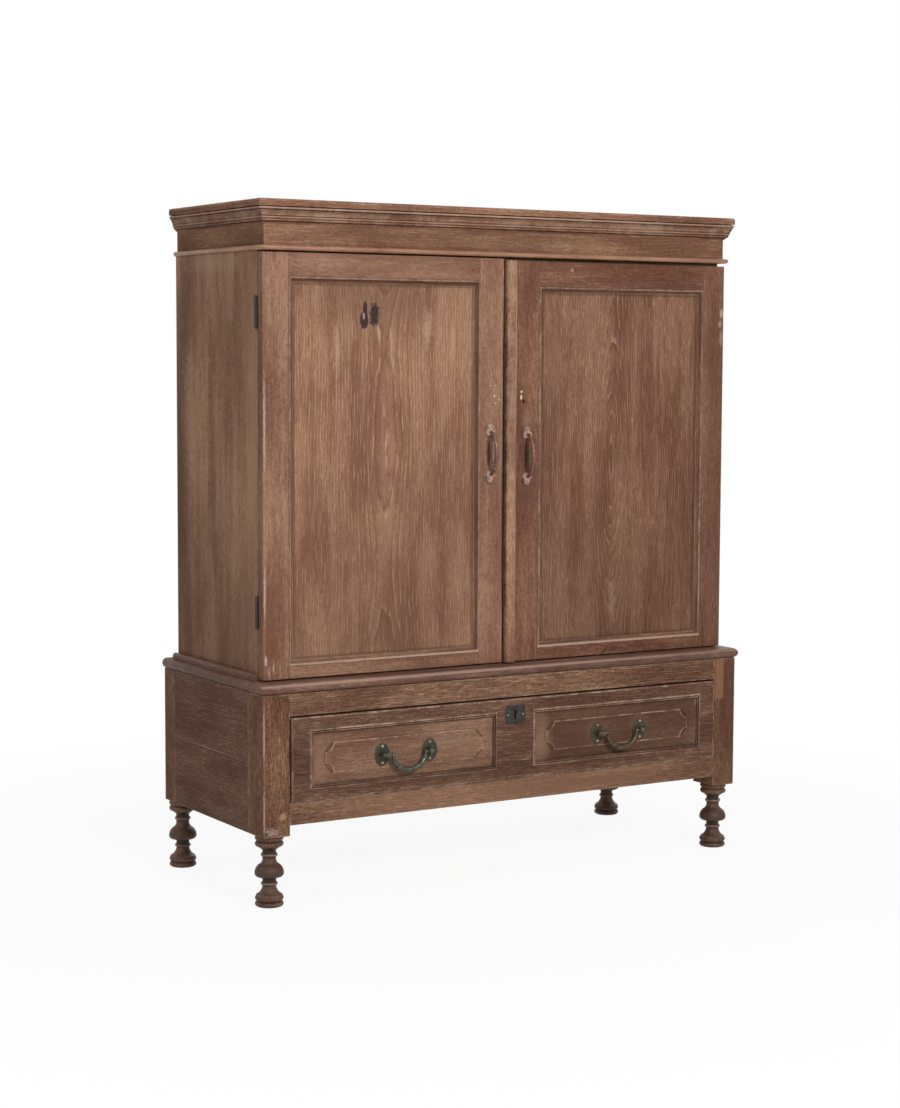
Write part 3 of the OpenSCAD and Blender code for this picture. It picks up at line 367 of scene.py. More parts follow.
@dataclass(frozen=True)
class Face:
    """An upright face on which marks are set out along it and up it."""

    place: float
    depth: float = 12 * MM
    facing: Facing = Facing.FORWARDS

    def ordered(self, along: float, through: float, up: float) -> Point:
        """Puts three distances in the order of the axes."""
        return (through, along, up) if self.facing is Facing.SIDEWAYS else (along, through, up)

    def spot(
        self,
        at: Pair,
        half: Pair,
        colour: RGB,
        strength: float = 0.9,
        ragged: float = 0.5,
        soft: float = 0.3,
        turn: float = 0.0,
    ) -> Mark:
        """Sets a round mark on the face.

        Args:
            at: Place of its middle along the face and up it, in metres.
            half: Half its length along the face and up it, in millimetres.
            colour: Colour of the mark.
            strength: Share of the colour at its middle.
            ragged: How far its outline wanders.
            soft: Share of the half size over which it fades.
            turn: Turn about the axis from front to back.

        Returns:
            The mark.
        """
        centre = self.ordered(at[0], self.place, at[1])
        size = self.ordered(half[0] * MM, self.depth, half[1] * MM)
        return Mark(centre, size, colour, strength, ragged, soft, turn)

    def patch(self, at: Pair, half: Pair, colour: RGB, strength: float, ragged: float, soft: float) -> Mark:
        """Sets a square mark on the face, from the same values as a round one."""
        return replace(self.spot(at, half, colour, strength, ragged, soft), outline=Outline.SQUARE)


def band(up: float, half: float, colour: RGB, strength: float, ragged: float, soft: float) -> Mark:
    """Sets a level line round the whole cabinet.

    Args:
        up: Height of the line, in metres.
        half: Half its width, in millimetres.
        colour: Colour of the line.
        strength: Share of the colour at its middle.
        ragged: How far its outline wanders.
        soft: Share of the half width over which it fades.

    Returns:
        The mark.
    """
    return Mark((0.0, 0.0, up), (BAND_REACH, BAND_REACH, half * MM), colour, strength, ragged, soft)


@dataclass(frozen=True)
class GrimeAndShade:
    """Soiling and painted shade that gather along the inside of an upright rectangle, in x and z."""

    low: Pair
    high: Pair
    width: float = 6 * MM
    colour: RGB = paint(62, 42, 32)
    strength: float = 0.75

    def mask(self, tree: Tree) -> Link:
        """Gives the share of soiling and painted shade at each point.

        Args:
            tree: Tree of the board's material.

        Returns:
            The share, from 0 to the strength of the soiling and shade.
        """
        x, _, z = tree.split(tree.place())
        away = (x - self.low[0]).least(self.high[0] - x).least((z - self.low[1]).least(self.high[1] - z))
        patchy = tree.noise(tree.place(), 24.0, 4.0, 0.7)
        dirt_and_shade = 1.0 - (away - patchy * self.width + self.width * 0.4).step(0.0, self.width)
        return dirt_and_shade * away.step(-2 * MM, -1 * MM) * self.strength


class Finish:
    """Base of the finishes: each gives one shared material."""

    _made: Dict["Finish", bpy.types.Material] = {}

    def material(self) -> bpy.types.Material:
        """Gives the finish's material.

        Returns:
            The material, which is made once.
        """
        if self not in Finish._made:
            Finish._made[self] = self.build()
        return Finish._made[self]

    def build(self) -> bpy.types.Material:
        """Builds the material."""
        raise NotImplementedError


@dataclass(frozen=True)
class Timber(Finish):
    """Dry, limed wood with growth rings, pale pores, worn edges and corners darkened by soiling and painted
    shade.
    """

    name: str
    body: RGB
    dark: RGB
    pale: RGB
    worn: RGB = paint(200, 172, 152)
    soil_and_shade: RGB = paint(52, 35, 27)
    ring_gap: float = 5.5 * MM
    heart: float = 26 * MM
    rise: float = 0.24
    figure: float = 0.2
    flame: float = 0.35
    liming: float = 0.6
    streaks: float = 0.7
    clouds: float = 0.6
    mottling: float = 0.8
    dashing: float = 0.35
    wear: float = 0.85
    dirt_and_shade: float = 0.95
    roughness: float = 0.72
    sheen: float = 0.12
    marks: Tuple[Mark, ...] = ()
    grime_and_shade: Tuple[GrimeAndShade, ...] = ()

    def build(self) -> bpy.types.Material:
        """Builds the wood from the board's own grain coordinates.

        Returns:
            The material.
        """
        tree = Tree(self.name)
        along, across, depth = tree.split(tree.attribute("grain", "Vector"))
        tone = tree.attribute("tone")
        place = tree.place()
        wander = tree.noise(tree.vector(along * 2.6, across * 9.0, depth * 9.0), 1.0, 3.0) - 0.5
        aside = across + wander * (15 * MM)

        def fibres(length: float, width: float, detail: float = 2.0, roughness: float = 0.5) -> Link:
            """Reads a noise drawn out along the grain, from -0.5 to 0.5."""
            at = tree.vector(along * length, aside * width, depth * width)
            return tree.noise(at, 1.0, detail, roughness) - 0.5

        crown = tree.noise(tree.vector(along * 1.1, tone * 9.0, 0.0), 1.0, 1.0) - 0.5
        down = depth + self.heart + crown * self.rise
        rings = (aside * aside + down * down).root() / self.ring_gap + fibres(9.0, 45.0, 3.0) * 1.1
        rings = rings.part()
        bands = fibres(2.2, 26.0, 3.0, 0.6)
        patches = fibres(3.4, 7.0, 3.0, 0.6)
        lines = fibres(7.0, 340.0, 2.0, 0.6)
        dashes = fibres(52.0, 560.0, 2.0, 0.6)
        pores = fibres(60.0, 700.0, 1.0)
        mottle = tree.noise(place, 170.0, 3.0, 0.65) - 0.5
        grit = tree.noise(place, 900.0, 1.0) - 0.5

        ruddy, tan = tint(self.body, 0.86, 0.77, 0.77), tint(self.body, 1.1, 1.14, 1.13)
        colour = tree.blend((bands + patches).step(-0.2, 0.2), ruddy, tan)
        shade = 1.0 + tone * 0.06 + bands * self.streaks + patches * self.clouds
        shade = shade + mottle * self.mottling + dashes * self.dashing + grit * 0.6
        colour = tree.blend(1.0, colour, tree.vector(shade, shade, shade), "MULTIPLY")
        late = rings.step(0.6, 0.97) * self.figure + (0.0 - dashes).step(0.08, 0.24) * 0.4
        colour = tree.blend(late, colour, self.dark)
        broken = fibres(22.0, 170.0).step(-0.06, 0.12)
        limed = (1.0 - rings.step(0.05, 0.34)) * broken * self.flame
        limed = limed + dashes.step(0.07, 0.18) * (patches + bands).step(-0.14, 0.12) * 0.85
        limed = limed + lines.step(0.1, 0.22) * 0.45 + pores.step(0.1, 0.24) * 0.25
        colour = tree.blend(limed.least(1.0) * self.liming, colour, self.pale)

        # Soiling and painted shade along recesses, then the marks, among them painted shadows and highlights
        for layer in (*self.grime_and_shade, *self.marks):
            colour = tree.blend(layer.mask(tree), colour, layer.colour)
        edge = tree.attribute("edge")
        rim, groove = edge.most(0.0), (0.0 - edge).most(0.0)
        rubbed = tree.noise(place, 34.0, 4.0, 0.7).step(0.44, 0.64)
        flecks = tree.noise(place, 300.0, 2.0).step(0.56, 0.66)
        flecks = flecks * tree.noise(place, 11.0, 2.0).step(0.44, 0.6)
        bare = (rim * (rubbed * 0.65 + 0.12)).most(rim * flecks)
        colour = tree.blend(bare * self.wear, colour, self.worn)
        # Soiling and painted shade in the inner corners
        colour = tree.blend(groove * self.dirt_and_shade, colour, self.soil_and_shade)
        rough = self.roughness + lines * 0.3 - rim * 0.08
        height = dashes * 0.9 + lines * 0.5 + grit * 0.4 + mottle * 0.5
        height = height - pores.step(0.1, 0.24) * 0.3 + bands * 0.6
        return tree.surface(colour, rough, 0.0, height, 0.5, 0.6 * MM, self.sheen)


@dataclass(frozen=True)
class OldBrass(Finish):
    """Cast brass or iron gone dark, with a bloom in the hollows and rubbed high spots."""

    name: str
    body: RGB
    bloom: RGB
    rubbed: RGB
    roughness: float = 0.42
    metal: float = 0.75
    share: float = 0.85
    relief: Optional[Pair] = None
    right: Optional[RGB] = None

    def build(self) -> bpy.types.Material:
        """Builds the tarnished metal, pitted and with painted shade at the seat of a relief.

        Returns:
            The material.
        """
        tree = Tree(self.name)
        place = tree.place()
        x, y, _ = tree.split(place)
        cloud = tree.noise(place, 95.0, 4.0, 0.65)
        speck = tree.noise(place, 620.0, 3.0, 0.6)
        bloom = (cloud * 0.7 + speck * 0.3).step(0.42, 0.62)
        colour = tree.blend(bloom * self.share, self.body, self.bloom)
        if self.right is not None:
            colour = tree.blend(x.step(-0.01, 0.01) * (1.0 - bloom * 0.5), colour, self.right)
        rub = tree.noise(place, 170.0, 3.0).step(0.54, 0.7)
        rim = tree.attribute("edge").most(0.0)
        colour = tree.blend((rub * 0.45).most(rim * 0.55), colour, self.rubbed)
        if self.relief is not None:
            rise = (y - self.relief[0]) / (self.relief[1] - self.relief[0])
            pits = tree.noise(place, 420.0, 2.0).step(0.54, 0.64) * 0.75
            colour = tree.blend(rise.step(0.5, 0.9) * 0.75, colour, self.rubbed)
            # Pits of the casting and painted shade where the relief meets its seat
            pit_and_seat_shade = pits.most(1.0 - rise.step(0.02, 0.2))
            colour = tree.blend(pit_and_seat_shade * 0.9, colour, tint(self.body, 0.1, 0.08, 0.08))
        rough = self.roughness + bloom * 0.28 - rub * 0.12
        metal = (self.metal - bloom * 0.4).most(0.0)
        height = cloud * 0.7 + speck * 0.5
        return tree.surface(colour, rough, metal, height, 0.35, 0.4 * MM, 0.5)


@dataclass(frozen=True)
class SheetZinc(Finish):
    """Dull zinc sheet with soft spangles, stains and fine scratches."""

    name: str
    body: RGB = paint(150, 154, 156)
    stain: RGB = paint(112, 112, 106)
    bright: RGB = paint(182, 186, 187)

    def build(self) -> bpy.types.Material:
        """Builds the sheet metal.

        Returns:
            The material.
        """
        tree = Tree(self.name)
        place = tree.place()
        spangle = tree.cells(place, 38.0)
        cloud = tree.noise(place, 7.0, 5.0, 0.62)
        x, y, z = tree.split(place)
        scratch = tree.noise(tree.vector(x * 9.0, y * 9.0, z * 700.0), 1.0, 1.0).step(0.62, 0.72)
        colour = tree.blend(cloud.step(0.40, 0.70) * 0.7, self.body, self.stain)
        colour = tree.blend((spangle * 0.35).most(scratch * 0.35), colour, self.bright)
        return tree.surface(colour, cloud * 0.35 + 0.32, 0.8, cloud + spangle * 0.3, 0.25, 1.2 * MM, 0.5)


@dataclass(frozen=True)
class PressedCork(Finish):
    """Pressed cork grains."""

    name: str
    shadow: RGB = paint(120, 82, 50)
    light: RGB = paint(176, 132, 88)
    grains: float = 240.0

    def build(self) -> bpy.types.Material:
        """Builds the cork.

        Returns:
            The material.
        """
        tree = Tree(self.name)
        place = tree.place()
        shade, _, _ = tree.split(tree.cells(place, self.grains, "Color"))
        colour = tree.blend(shade * 0.8, self.shadow, self.light)
        height = tree.cells(place, self.grains)
        return tree.surface(colour, shade * 0.1 + 0.85, 0.0, height, 0.5, 1.0 * MM, 0.2)


class Lay(Enum):
    """Ways in which the grain of a board runs."""

    WIDTH = 0
    DEPTH = 1
    HEIGHT = 2
    LONGEST = 3
    FRAME = 4


class Order(Enum):
    """Orders in which the boards of a piece draw their differences, as weights of x, |x|, y and z."""

    LEFT_FIRST = (1.0, 0.0, 0.01, 0.1)
    RIGHT_FIRST = (-1.0, 0.0, 0.01, 0.1)
    FRONT_LEFT_RIGHT = (1.0, 0.0, 10.0, 0.0)
    FRONT_RIGHT_LEFT = (-1.0, 0.0, 10.0, 0.0)
    RIGHT_LEFT_FRONT = (-1.0, 0.0, -10.0, 0.0)
    SIDES_FIRST = (-1.0, -10.0, 0.01, 1.0)
    SIDES_LAST = (-0.1, 1.0, 1.0, 10.0)

    def rank(self, at: Vector) -> float:
        """Gives the rank of a board from its middle."""
        return sum(weight * part for weight, part in zip(self.value, (at.x, abs(at.x), at.y, at.z)))


def body_of(node: str) -> str:
    """Finds the body that a CAD node belongs to."""
    return next(body for body, nodes in frame["record"]["behaviour"]["bodies"].items() if node in nodes)


def slot_of(node: str) -> str:
    """Finds the material slot of a CAD node."""
    return next(s["material_slot"] for s in frame["record"]["subparts"] if s["node"] == node)


def pivot_of(joint: str) -> Vector:
    """Finds the pivot of a joint."""
    return Vector(next(j["pos_m"] for j in frame["record"]["behaviour"]["joints"] if j["name"] == joint))


@dataclass
class Shop:
    """Makes finished pieces out of meshes and of copies of the CAD nodes."""

    sharp: float = math.radians(32)
    flat: float = math.radians(1.2)
    acute: float = math.radians(40)
    narrow: float = 3 * MM
    finest: float = 0.25 * MM

    def islands(self, bm: BMesh) -> List[List[BMFace]]:
        """Parts a mesh into its separate solids.

        Args:
            bm: The mesh.

        Returns:
            The faces of each solid.
        """
        left = set(bm.faces)
        found: List[List[BMFace]] = []
        for start in bm.faces:
            if start not in left:
                continue
            left.discard(start)
            group, queue = [start], [start]
            while queue:
                for edge in queue.pop().edges:
                    for near in edge.link_faces:
                        if near in left:
                            left.discard(near)
                            group.append(near)
                            queue.append(near)
            found.append(group)
        return found

    def lay_grain(self, bm: BMesh, name: str, lay: Lay, order: Order, heart: Optional[float] = None) -> None:
        """Writes each board's grain coordinates and tone into the mesh.

        Args:
            bm: The mesh.
            name: Name that seeds the boards' differences.
            lay: Way in which the grain runs.
            order: Order in which the boards draw.
            heart: Place of the figure's middle across the board, or None for chance.
        """
        grain = bm.loops.layers.float_vector.new("grain")
        tone = bm.loops.layers.float.new("tone")
        boards = []
        for group in self.islands(bm):
            points = [v.co for f in group for v in f.verts]
            low = Vector(min(p[k] for p in points) for k in range(3))
            high = Vector(max(p[k] for p in points) for k in range(3))
            boards.append((group, low, high))
        boards.sort(key=lambda board: order.rank((board[1] + board[2]) / 2))
        for number, (group, low, high) in enumerate(boards):
            rng = random.Random(f"{name}{number}")
            span, middle = high - low, (low + high) / 2
            shade = rng.uniform(-1.0, 1.0)
            offset = Vector((rng.uniform(0.0, 6.0), rng.uniform(-0.16, 0.16), rng.uniform(-0.02, 0.02)))
            for face in group:
                main = self.grain_axis(lay, span, face.calc_center_median(), low, high)
                side, thin = sorted((k for k in range(3) if k != main), key=lambda k: -span[k])
                across = offset[1] if heart is None else middle[side] - heart
                for loop in face.loops:
                    p = loop.vert.co
                    loop[grain] = (
                        p[main] + offset[0],
                        p[side] - middle[side] + across,
                        p[thin] - middle[thin] + offset[2],
                    )
                    loop[tone] = shade

    @staticmethod
    def grain_axis(lay: Lay, span: Vector, at: Vector, low: Vector, high: Vector) -> int:
        """Chooses the axis along which the grain of a face runs.

        Args:
            lay: Way in which the grain runs.
            span: Size of the board.
            at: Middle of the face.
            low: Lowest corner of the board.
            high: Highest corner of the board.

        Returns:
            Index of the axis.
        """
        if lay is Lay.LONGEST:
            return max(range(3), key=lambda k: span[k])
        if lay is Lay.FRAME:
            beside = min(at.x - low.x, high.x - at.x)
            below = min(at.z - low.z, high.z - at.z)
            return 2 if beside < below else 0
        return lay.value

    def copy(self, node: str) -> BMesh:
        """Copies a CAD node, with its triangles joined into whole faces.

        Args:
            node: Name of the node.

        Returns:
            The copied mesh.
        """
        source = frame["nodes"][node]
        bm = bmesh.new()
        bm.from_mesh(source.data)
        bmesh.ops.transform(bm, matrix=source.matrix_world, verts=bm.verts)
        bmesh.ops.remove_doubles(bm, verts=bm.verts, dist=0.002 * MM)
        bmesh.ops.dissolve_limit(
            bm, angle_limit=self.flat, use_dissolve_boundaries=False, verts=bm.verts, edges=bm.edges
        )
        return bm

    @staticmethod
    def bend(edge: BMEdge) -> float:
        """Gives the angle at an edge: positive outside, negative in a corner."""
        return edge.calc_face_angle_signed(0.0) if len(edge.link_faces) == 2 else 0.0

    def soften(self, bm: BMesh, rim: float, line: float) -> None:
        """Rounds the outer edges of a mesh and marks its worn edges and its inner corners, which take soiling
        and painted shade.

        Args:
            bm: The mesh.
            rim: Width of the rounding at outer edges.
            line: Width over which the wear, the soiling and the painted shade fade on the faces beside an
                edge.
        """
        layer = bm.loops.layers.float.new("edge")
        outer = [e for e in bm.edges if self.bend(e) > self.sharp]
        rounded: Set[BMFace] = set()
        if outer and rim > 0.0:
            rounded = set(
                bmesh.ops.bevel(
                    bm,
                    geom=outer,
                    offset=rim,
                    offset_type="OFFSET",
                    segments=2,
                    profile=0.5,
                    affect="EDGES",
                    clamp_overlap=True,
                    material=-1,
                )["faces"]
            )
        signs: Dict[BMEdge, float] = {}
        for edge in bm.edges:
            bend = self.bend(edge)
            # Inner corners take soiling and painted shade
            if bend < -self.sharp:
                signs[edge] = -1.0
            elif bend > self.sharp or any(f in rounded for f in edge.link_faces):
                signs[edge] = 1.0
        groups: Dict[int, List[BMFace]] = {}
        plain: Set[BMFace] = set()
        for face in bm.faces:
            width = 2.0 * face.calc_area() / face.calc_perimeter()
            if face in rounded or width < self.narrow:
                continue
            if line > 0.0 and min(loop.calc_angle() for loop in face.loops) > self.acute:
                groups.setdefault(int(min(line, 0.3 * width) / self.finest), []).append(face)
            else:
                plain.add(face)
        for count, faces in groups.items():
            bmesh.ops.inset_individual(bm, faces=faces, thickness=count * self.finest, use_even_offset=True)
        for face in (f for f in bm.faces if f not in plain):
            for edge in face.edges:
                for loop in face.loops:
                    if edge in signs and loop.vert in edge.verts:
                        loop[layer] = signs[edge]

    def piece(
        self,
        bm: BMesh,
        name: str,
        finish: Finish,
        body: str,
        slot: str,
        stands_for: Sequence[str] = (),
    ) -> bpy.types.Object:
        """Turns a mesh into a piece that rides on a body.

        Args:
            bm: The mesh, which is used up.
            name: Name of the piece.
            finish: Finish of the piece.
            body: Body that carries it.
            slot: Material slot of the record; not used.
            stands_for: CAD nodes that the piece replaces.

        Returns:
            The new object.
        """
        for face in bm.faces:
            face.smooth = True
        for edge in bm.edges:
            edge.smooth = len(edge.link_faces) == 2 and edge.calc_face_angle(0.0) < self.sharp
        mesh = bpy.data.meshes.new(name)
        bm.to_mesh(mesh)
        bm.free()
        mesh.materials.append(finish.material())
        made = bpy.data.objects.new(name, mesh)
        bpy.context.scene.collection.objects.link(made)
        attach(made, body)
        if stands_for:
            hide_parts(*stands_for)
        LOG.info("%s: %d faces on %s", name, len(mesh.polygons), body)
        return made

    def board(
        self,
        node: str,
        finish: Finish,
        lay: Lay = Lay.LONGEST,
        rim: float = 1.1 * MM,
        line: float = 2.0 * MM,
        order: Order = Order.LEFT_FIRST,
        heart: Optional[float] = None,
    ) -> bpy.types.Object:
        """Remakes a CAD node with soft, worn edges and its own grain.

        Args:
            node: Name of the node.
            finish: Finish of the piece.
            lay: Way in which the grain runs.
            rim: Width of the soft outer edges.
            line: Width of the wear, the soiling and the painted shade beside an edge.
            order: Order in which the boards draw their differences.
            heart: Place of the figure's middle, or None for chance.

        Returns:
            The new object.
        """
        bm = self.copy(node)
        self.soften(bm, rim, line)
        self.lay_grain(bm, node, lay, order, heart)
        return self.piece(bm, f"{node}_dressed", finish, body_of(node), slot_of(node), [node])


@dataclass
class Forge:
    """Shapes the cast and turned metal fittings.

    A screw head's dome, the floor of its slot and its core are shares of the head's radius.
    """

    sides: int = 16
    dome: float = 0.62
    slot_floor: float = 0.25
    core: float = 0.98

    def ball(self, bm: BMesh, centre: Vector, radii: Point) -> List[BMVert]:
        """Adds an egg shape.

        Args:
            bm: Mesh that takes it.
            centre: Middle of the shape.
            radii: Half size along each axis.

        Returns:
            The new vertices.
        """
        place = Matrix.Translation(centre) @ Matrix.Diagonal((*radii, 1.0))
        return bmesh.ops.create_uvsphere(
            bm, u_segments=2 * self.sides, v_segments=self.sides, radius=1.0, matrix=place
        )["verts"]

    def rod(self, bm: BMesh, start: Vector, end: Vector, start_r: float, end_r: float) -> List[BMVert]:
        """Adds a round rod between two points.

        Args:
            bm: Mesh that takes it.
            start: First end.
            end: Second end.
            start_r: Radius at the first end.
            end_r: Radius at the second end.

        Returns:
            The new vertices.
        """
        way = end - start
        place = Matrix.Translation((start + end) / 2) @ way.to_track_quat("Z", "Y").to_matrix().to_4x4()
        return bmesh.ops.create_cone(
            bm,
            cap_ends=True,
            segments=2 * self.sides,
            radius1=start_r,
            radius2=end_r,
            depth=way.length,
            matrix=place,
        )["verts"]

    def bow(
        self,
        bm: BMesh,
        middle: Vector,
        half: Vector,
        reach: Vector,
        end_r: float,
        middle_r: float,
        steps: int = 40,
    ) -> None:
        """Draws a round bar along half an ellipse, thickest at its middle.

        Args:
            bm: Mesh that takes it.
            middle: Middle of the line between the two ends.
            half: Way from the middle to the first end.
            reach: Way from the middle to the top of the bow.
            end_r: Radius at the ends.
            middle_r: Radius at the top of the bow.
            steps: Number of stations along the bow.
        """
        flat = half.cross(reach).normalized()

        def station(number: int) -> Matrix:
            """Gives the place, turn and radius of one cross-section.

            Args:
                number: Number of the station.

            Returns:
                The matrix that sets a unit circle there.
            """
            angle = math.pi * number / steps
            ahead = (reach * math.cos(angle) - half * math.sin(angle)).normalized()
            radius = end_r + (middle_r - end_r) * math.sin(angle)
            turn = Matrix((flat * radius, ahead.cross(flat) * radius, ahead)).transposed().to_4x4()
            return Matrix.Translation(middle + half * math.cos(angle) + reach * math.sin(angle)) @ turn

        ring = bmesh.ops.create_circle(
            bm, cap_ends=False, radius=1.0, segments=self.sides, matrix=station(0)
        )["verts"]
        edges = list({e for v in ring for e in v.link_edges})
        loops = [edges]
        for number in range(steps):
            grown = bmesh.ops.extrude_edge_only(bm, edges=edges)["geom"]
            fresh = [g for g in grown if isinstance(g, BMVert)]
            bmesh.ops.transform(bm, matrix=station(number + 1) @ station(number).inverted(), verts=fresh)
            new = set(fresh)
            edges = [g for g in grown if isinstance(g, BMEdge) and set(g.verts) <= new]
        loops.append(edges)
        for loop in loops:
            bmesh.ops.edgeloop_fill(bm, edges=loop)
        faces = {f for v in bm.verts if v.is_valid for f in v.link_faces}
        bmesh.ops.recalc_face_normals(bm, faces=list(faces))

    @staticmethod
    def cut(bm: BMesh, at: Point, outwards: Point) -> None:
        """Cuts a mesh off beyond a plane and closes it.

        Args:
            bm: The mesh.
            at: Point on the plane.
            outwards: Way from the plane to what is cut off.
        """
        whole = [*bm.verts, *bm.edges, *bm.faces]
        bmesh.ops.bisect_plane(bm, geom=whole, plane_co=at, plane_no=outwards, clear_outer=True)
        bmesh.ops.holes_fill(bm, edges=[e for e in bm.edges if e.is_boundary], sides=0)

    def flush(self, bm: BMesh, face_y: float) -> None:
        """Cuts a mesh off behind an upright face."""
        self.cut(bm, (0.0, face_y, 0.0), BACKWARDS)
        bmesh.ops.recalc_face_normals(bm, faces=bm.faces)

    def screw(self, bm: BMesh, at: Vector, radius: float, turn: float, slot: float = 0.35 * MM) -> None:
        """Adds a slotted round screw head that faces forwards.

        Args:
            bm: Mesh that takes it.
            at: Middle of the head's seat.
            radius: Radius of the head.
            turn: Turn of the slot.
            slot: Half width of the slot.
        """
        for side in (-1.0, 1.0):
            half = bmesh.new()
            self.ball(half, Vector((0.0, 0.0, 0.0)), (radius, self.dome * radius, radius))
            self.cut(half, (0.0, 0.0, 0.0), BACKWARDS)
            self.cut(half, (side * slot, 0.0, 0.0), (-side, 0.0, 0.0))
            bmesh.ops.recalc_face_normals(half, faces=half.faces)
            bmesh.ops.transform(
                half, matrix=Matrix.Translation(at) @ Matrix.Rotation(turn, 4, "Y"), verts=half.verts
            )
            share = bpy.data.meshes.new("screw_half")
            half.to_mesh(share)
            half.free()
            bm.from_mesh(share)
            bpy.data.meshes.remove(share)
        floor = at + Vector((0.0, -self.slot_floor * radius, 0.0))
        core = radius * self.core
        self.rod(bm, at, floor, core, core)


DARK = paint(88, 60, 46)
CREAM = paint(222, 190, 150)
PALE = paint(190, 156, 128)
FILLER = paint(196, 176, 162)
HOLE = paint(30, 22, 20)
# Painted shadow colour for the gap round the drawer
GAP_SHADOW = paint(32, 22, 18)
# Painted shadow colour for the gaps round the doors
DOOR_GAP_SHADOW = paint(30, 20, 16)
STAIN = paint(52, 44, 43)
# Painted shade colours for the crown's grooves and cove
GROOVE_SHADE = paint(34, 23, 18)
COVE_SHADE = paint(40, 27, 21)

DOOR_FRONT = Face(-0.178)
DOOR_EDGE = Face(-0.178, 14 * MM)
DOOR_TOP = Face(-0.178, 30 * MM)
PANEL_FRONT = Face(-0.171, 8 * MM)
MOULDING_FRONT = Face(-0.176)
STRIP_FRONT = Face(-0.182, 16 * MM)
STAND_FRONT = Face(-0.212)
RIGHT_POST = Face(-0.212, 40 * MM)
BOTTOM_RAIL = Face(-0.212, 30 * MM)
POST_CORNER = Face(-0.211, 4 * MM)
POST_END = Face(-0.211, 6 * MM)
DRAWER_FRONT = Face(-0.217)
KEYHOLE_WALL = Face(-0.205, 20 * MM)
TABLET_FRONT = Face(-0.216)
TABLET_SLOPE = Face(-0.214, 20 * MM)
NOSING_FRONT = Face(-0.216)
NOSING_TOP = Face(-0.216, 20 * MM)
NOSING_SIDE = Face(-0.560, 22 * MM, Facing.SIDEWAYS)
CASE_SIDE = Face(-0.533, 30 * MM, Facing.SIDEWAYS)
BASE_SIDE = Face(-0.547, 12 * MM, Facing.SIDEWAYS)

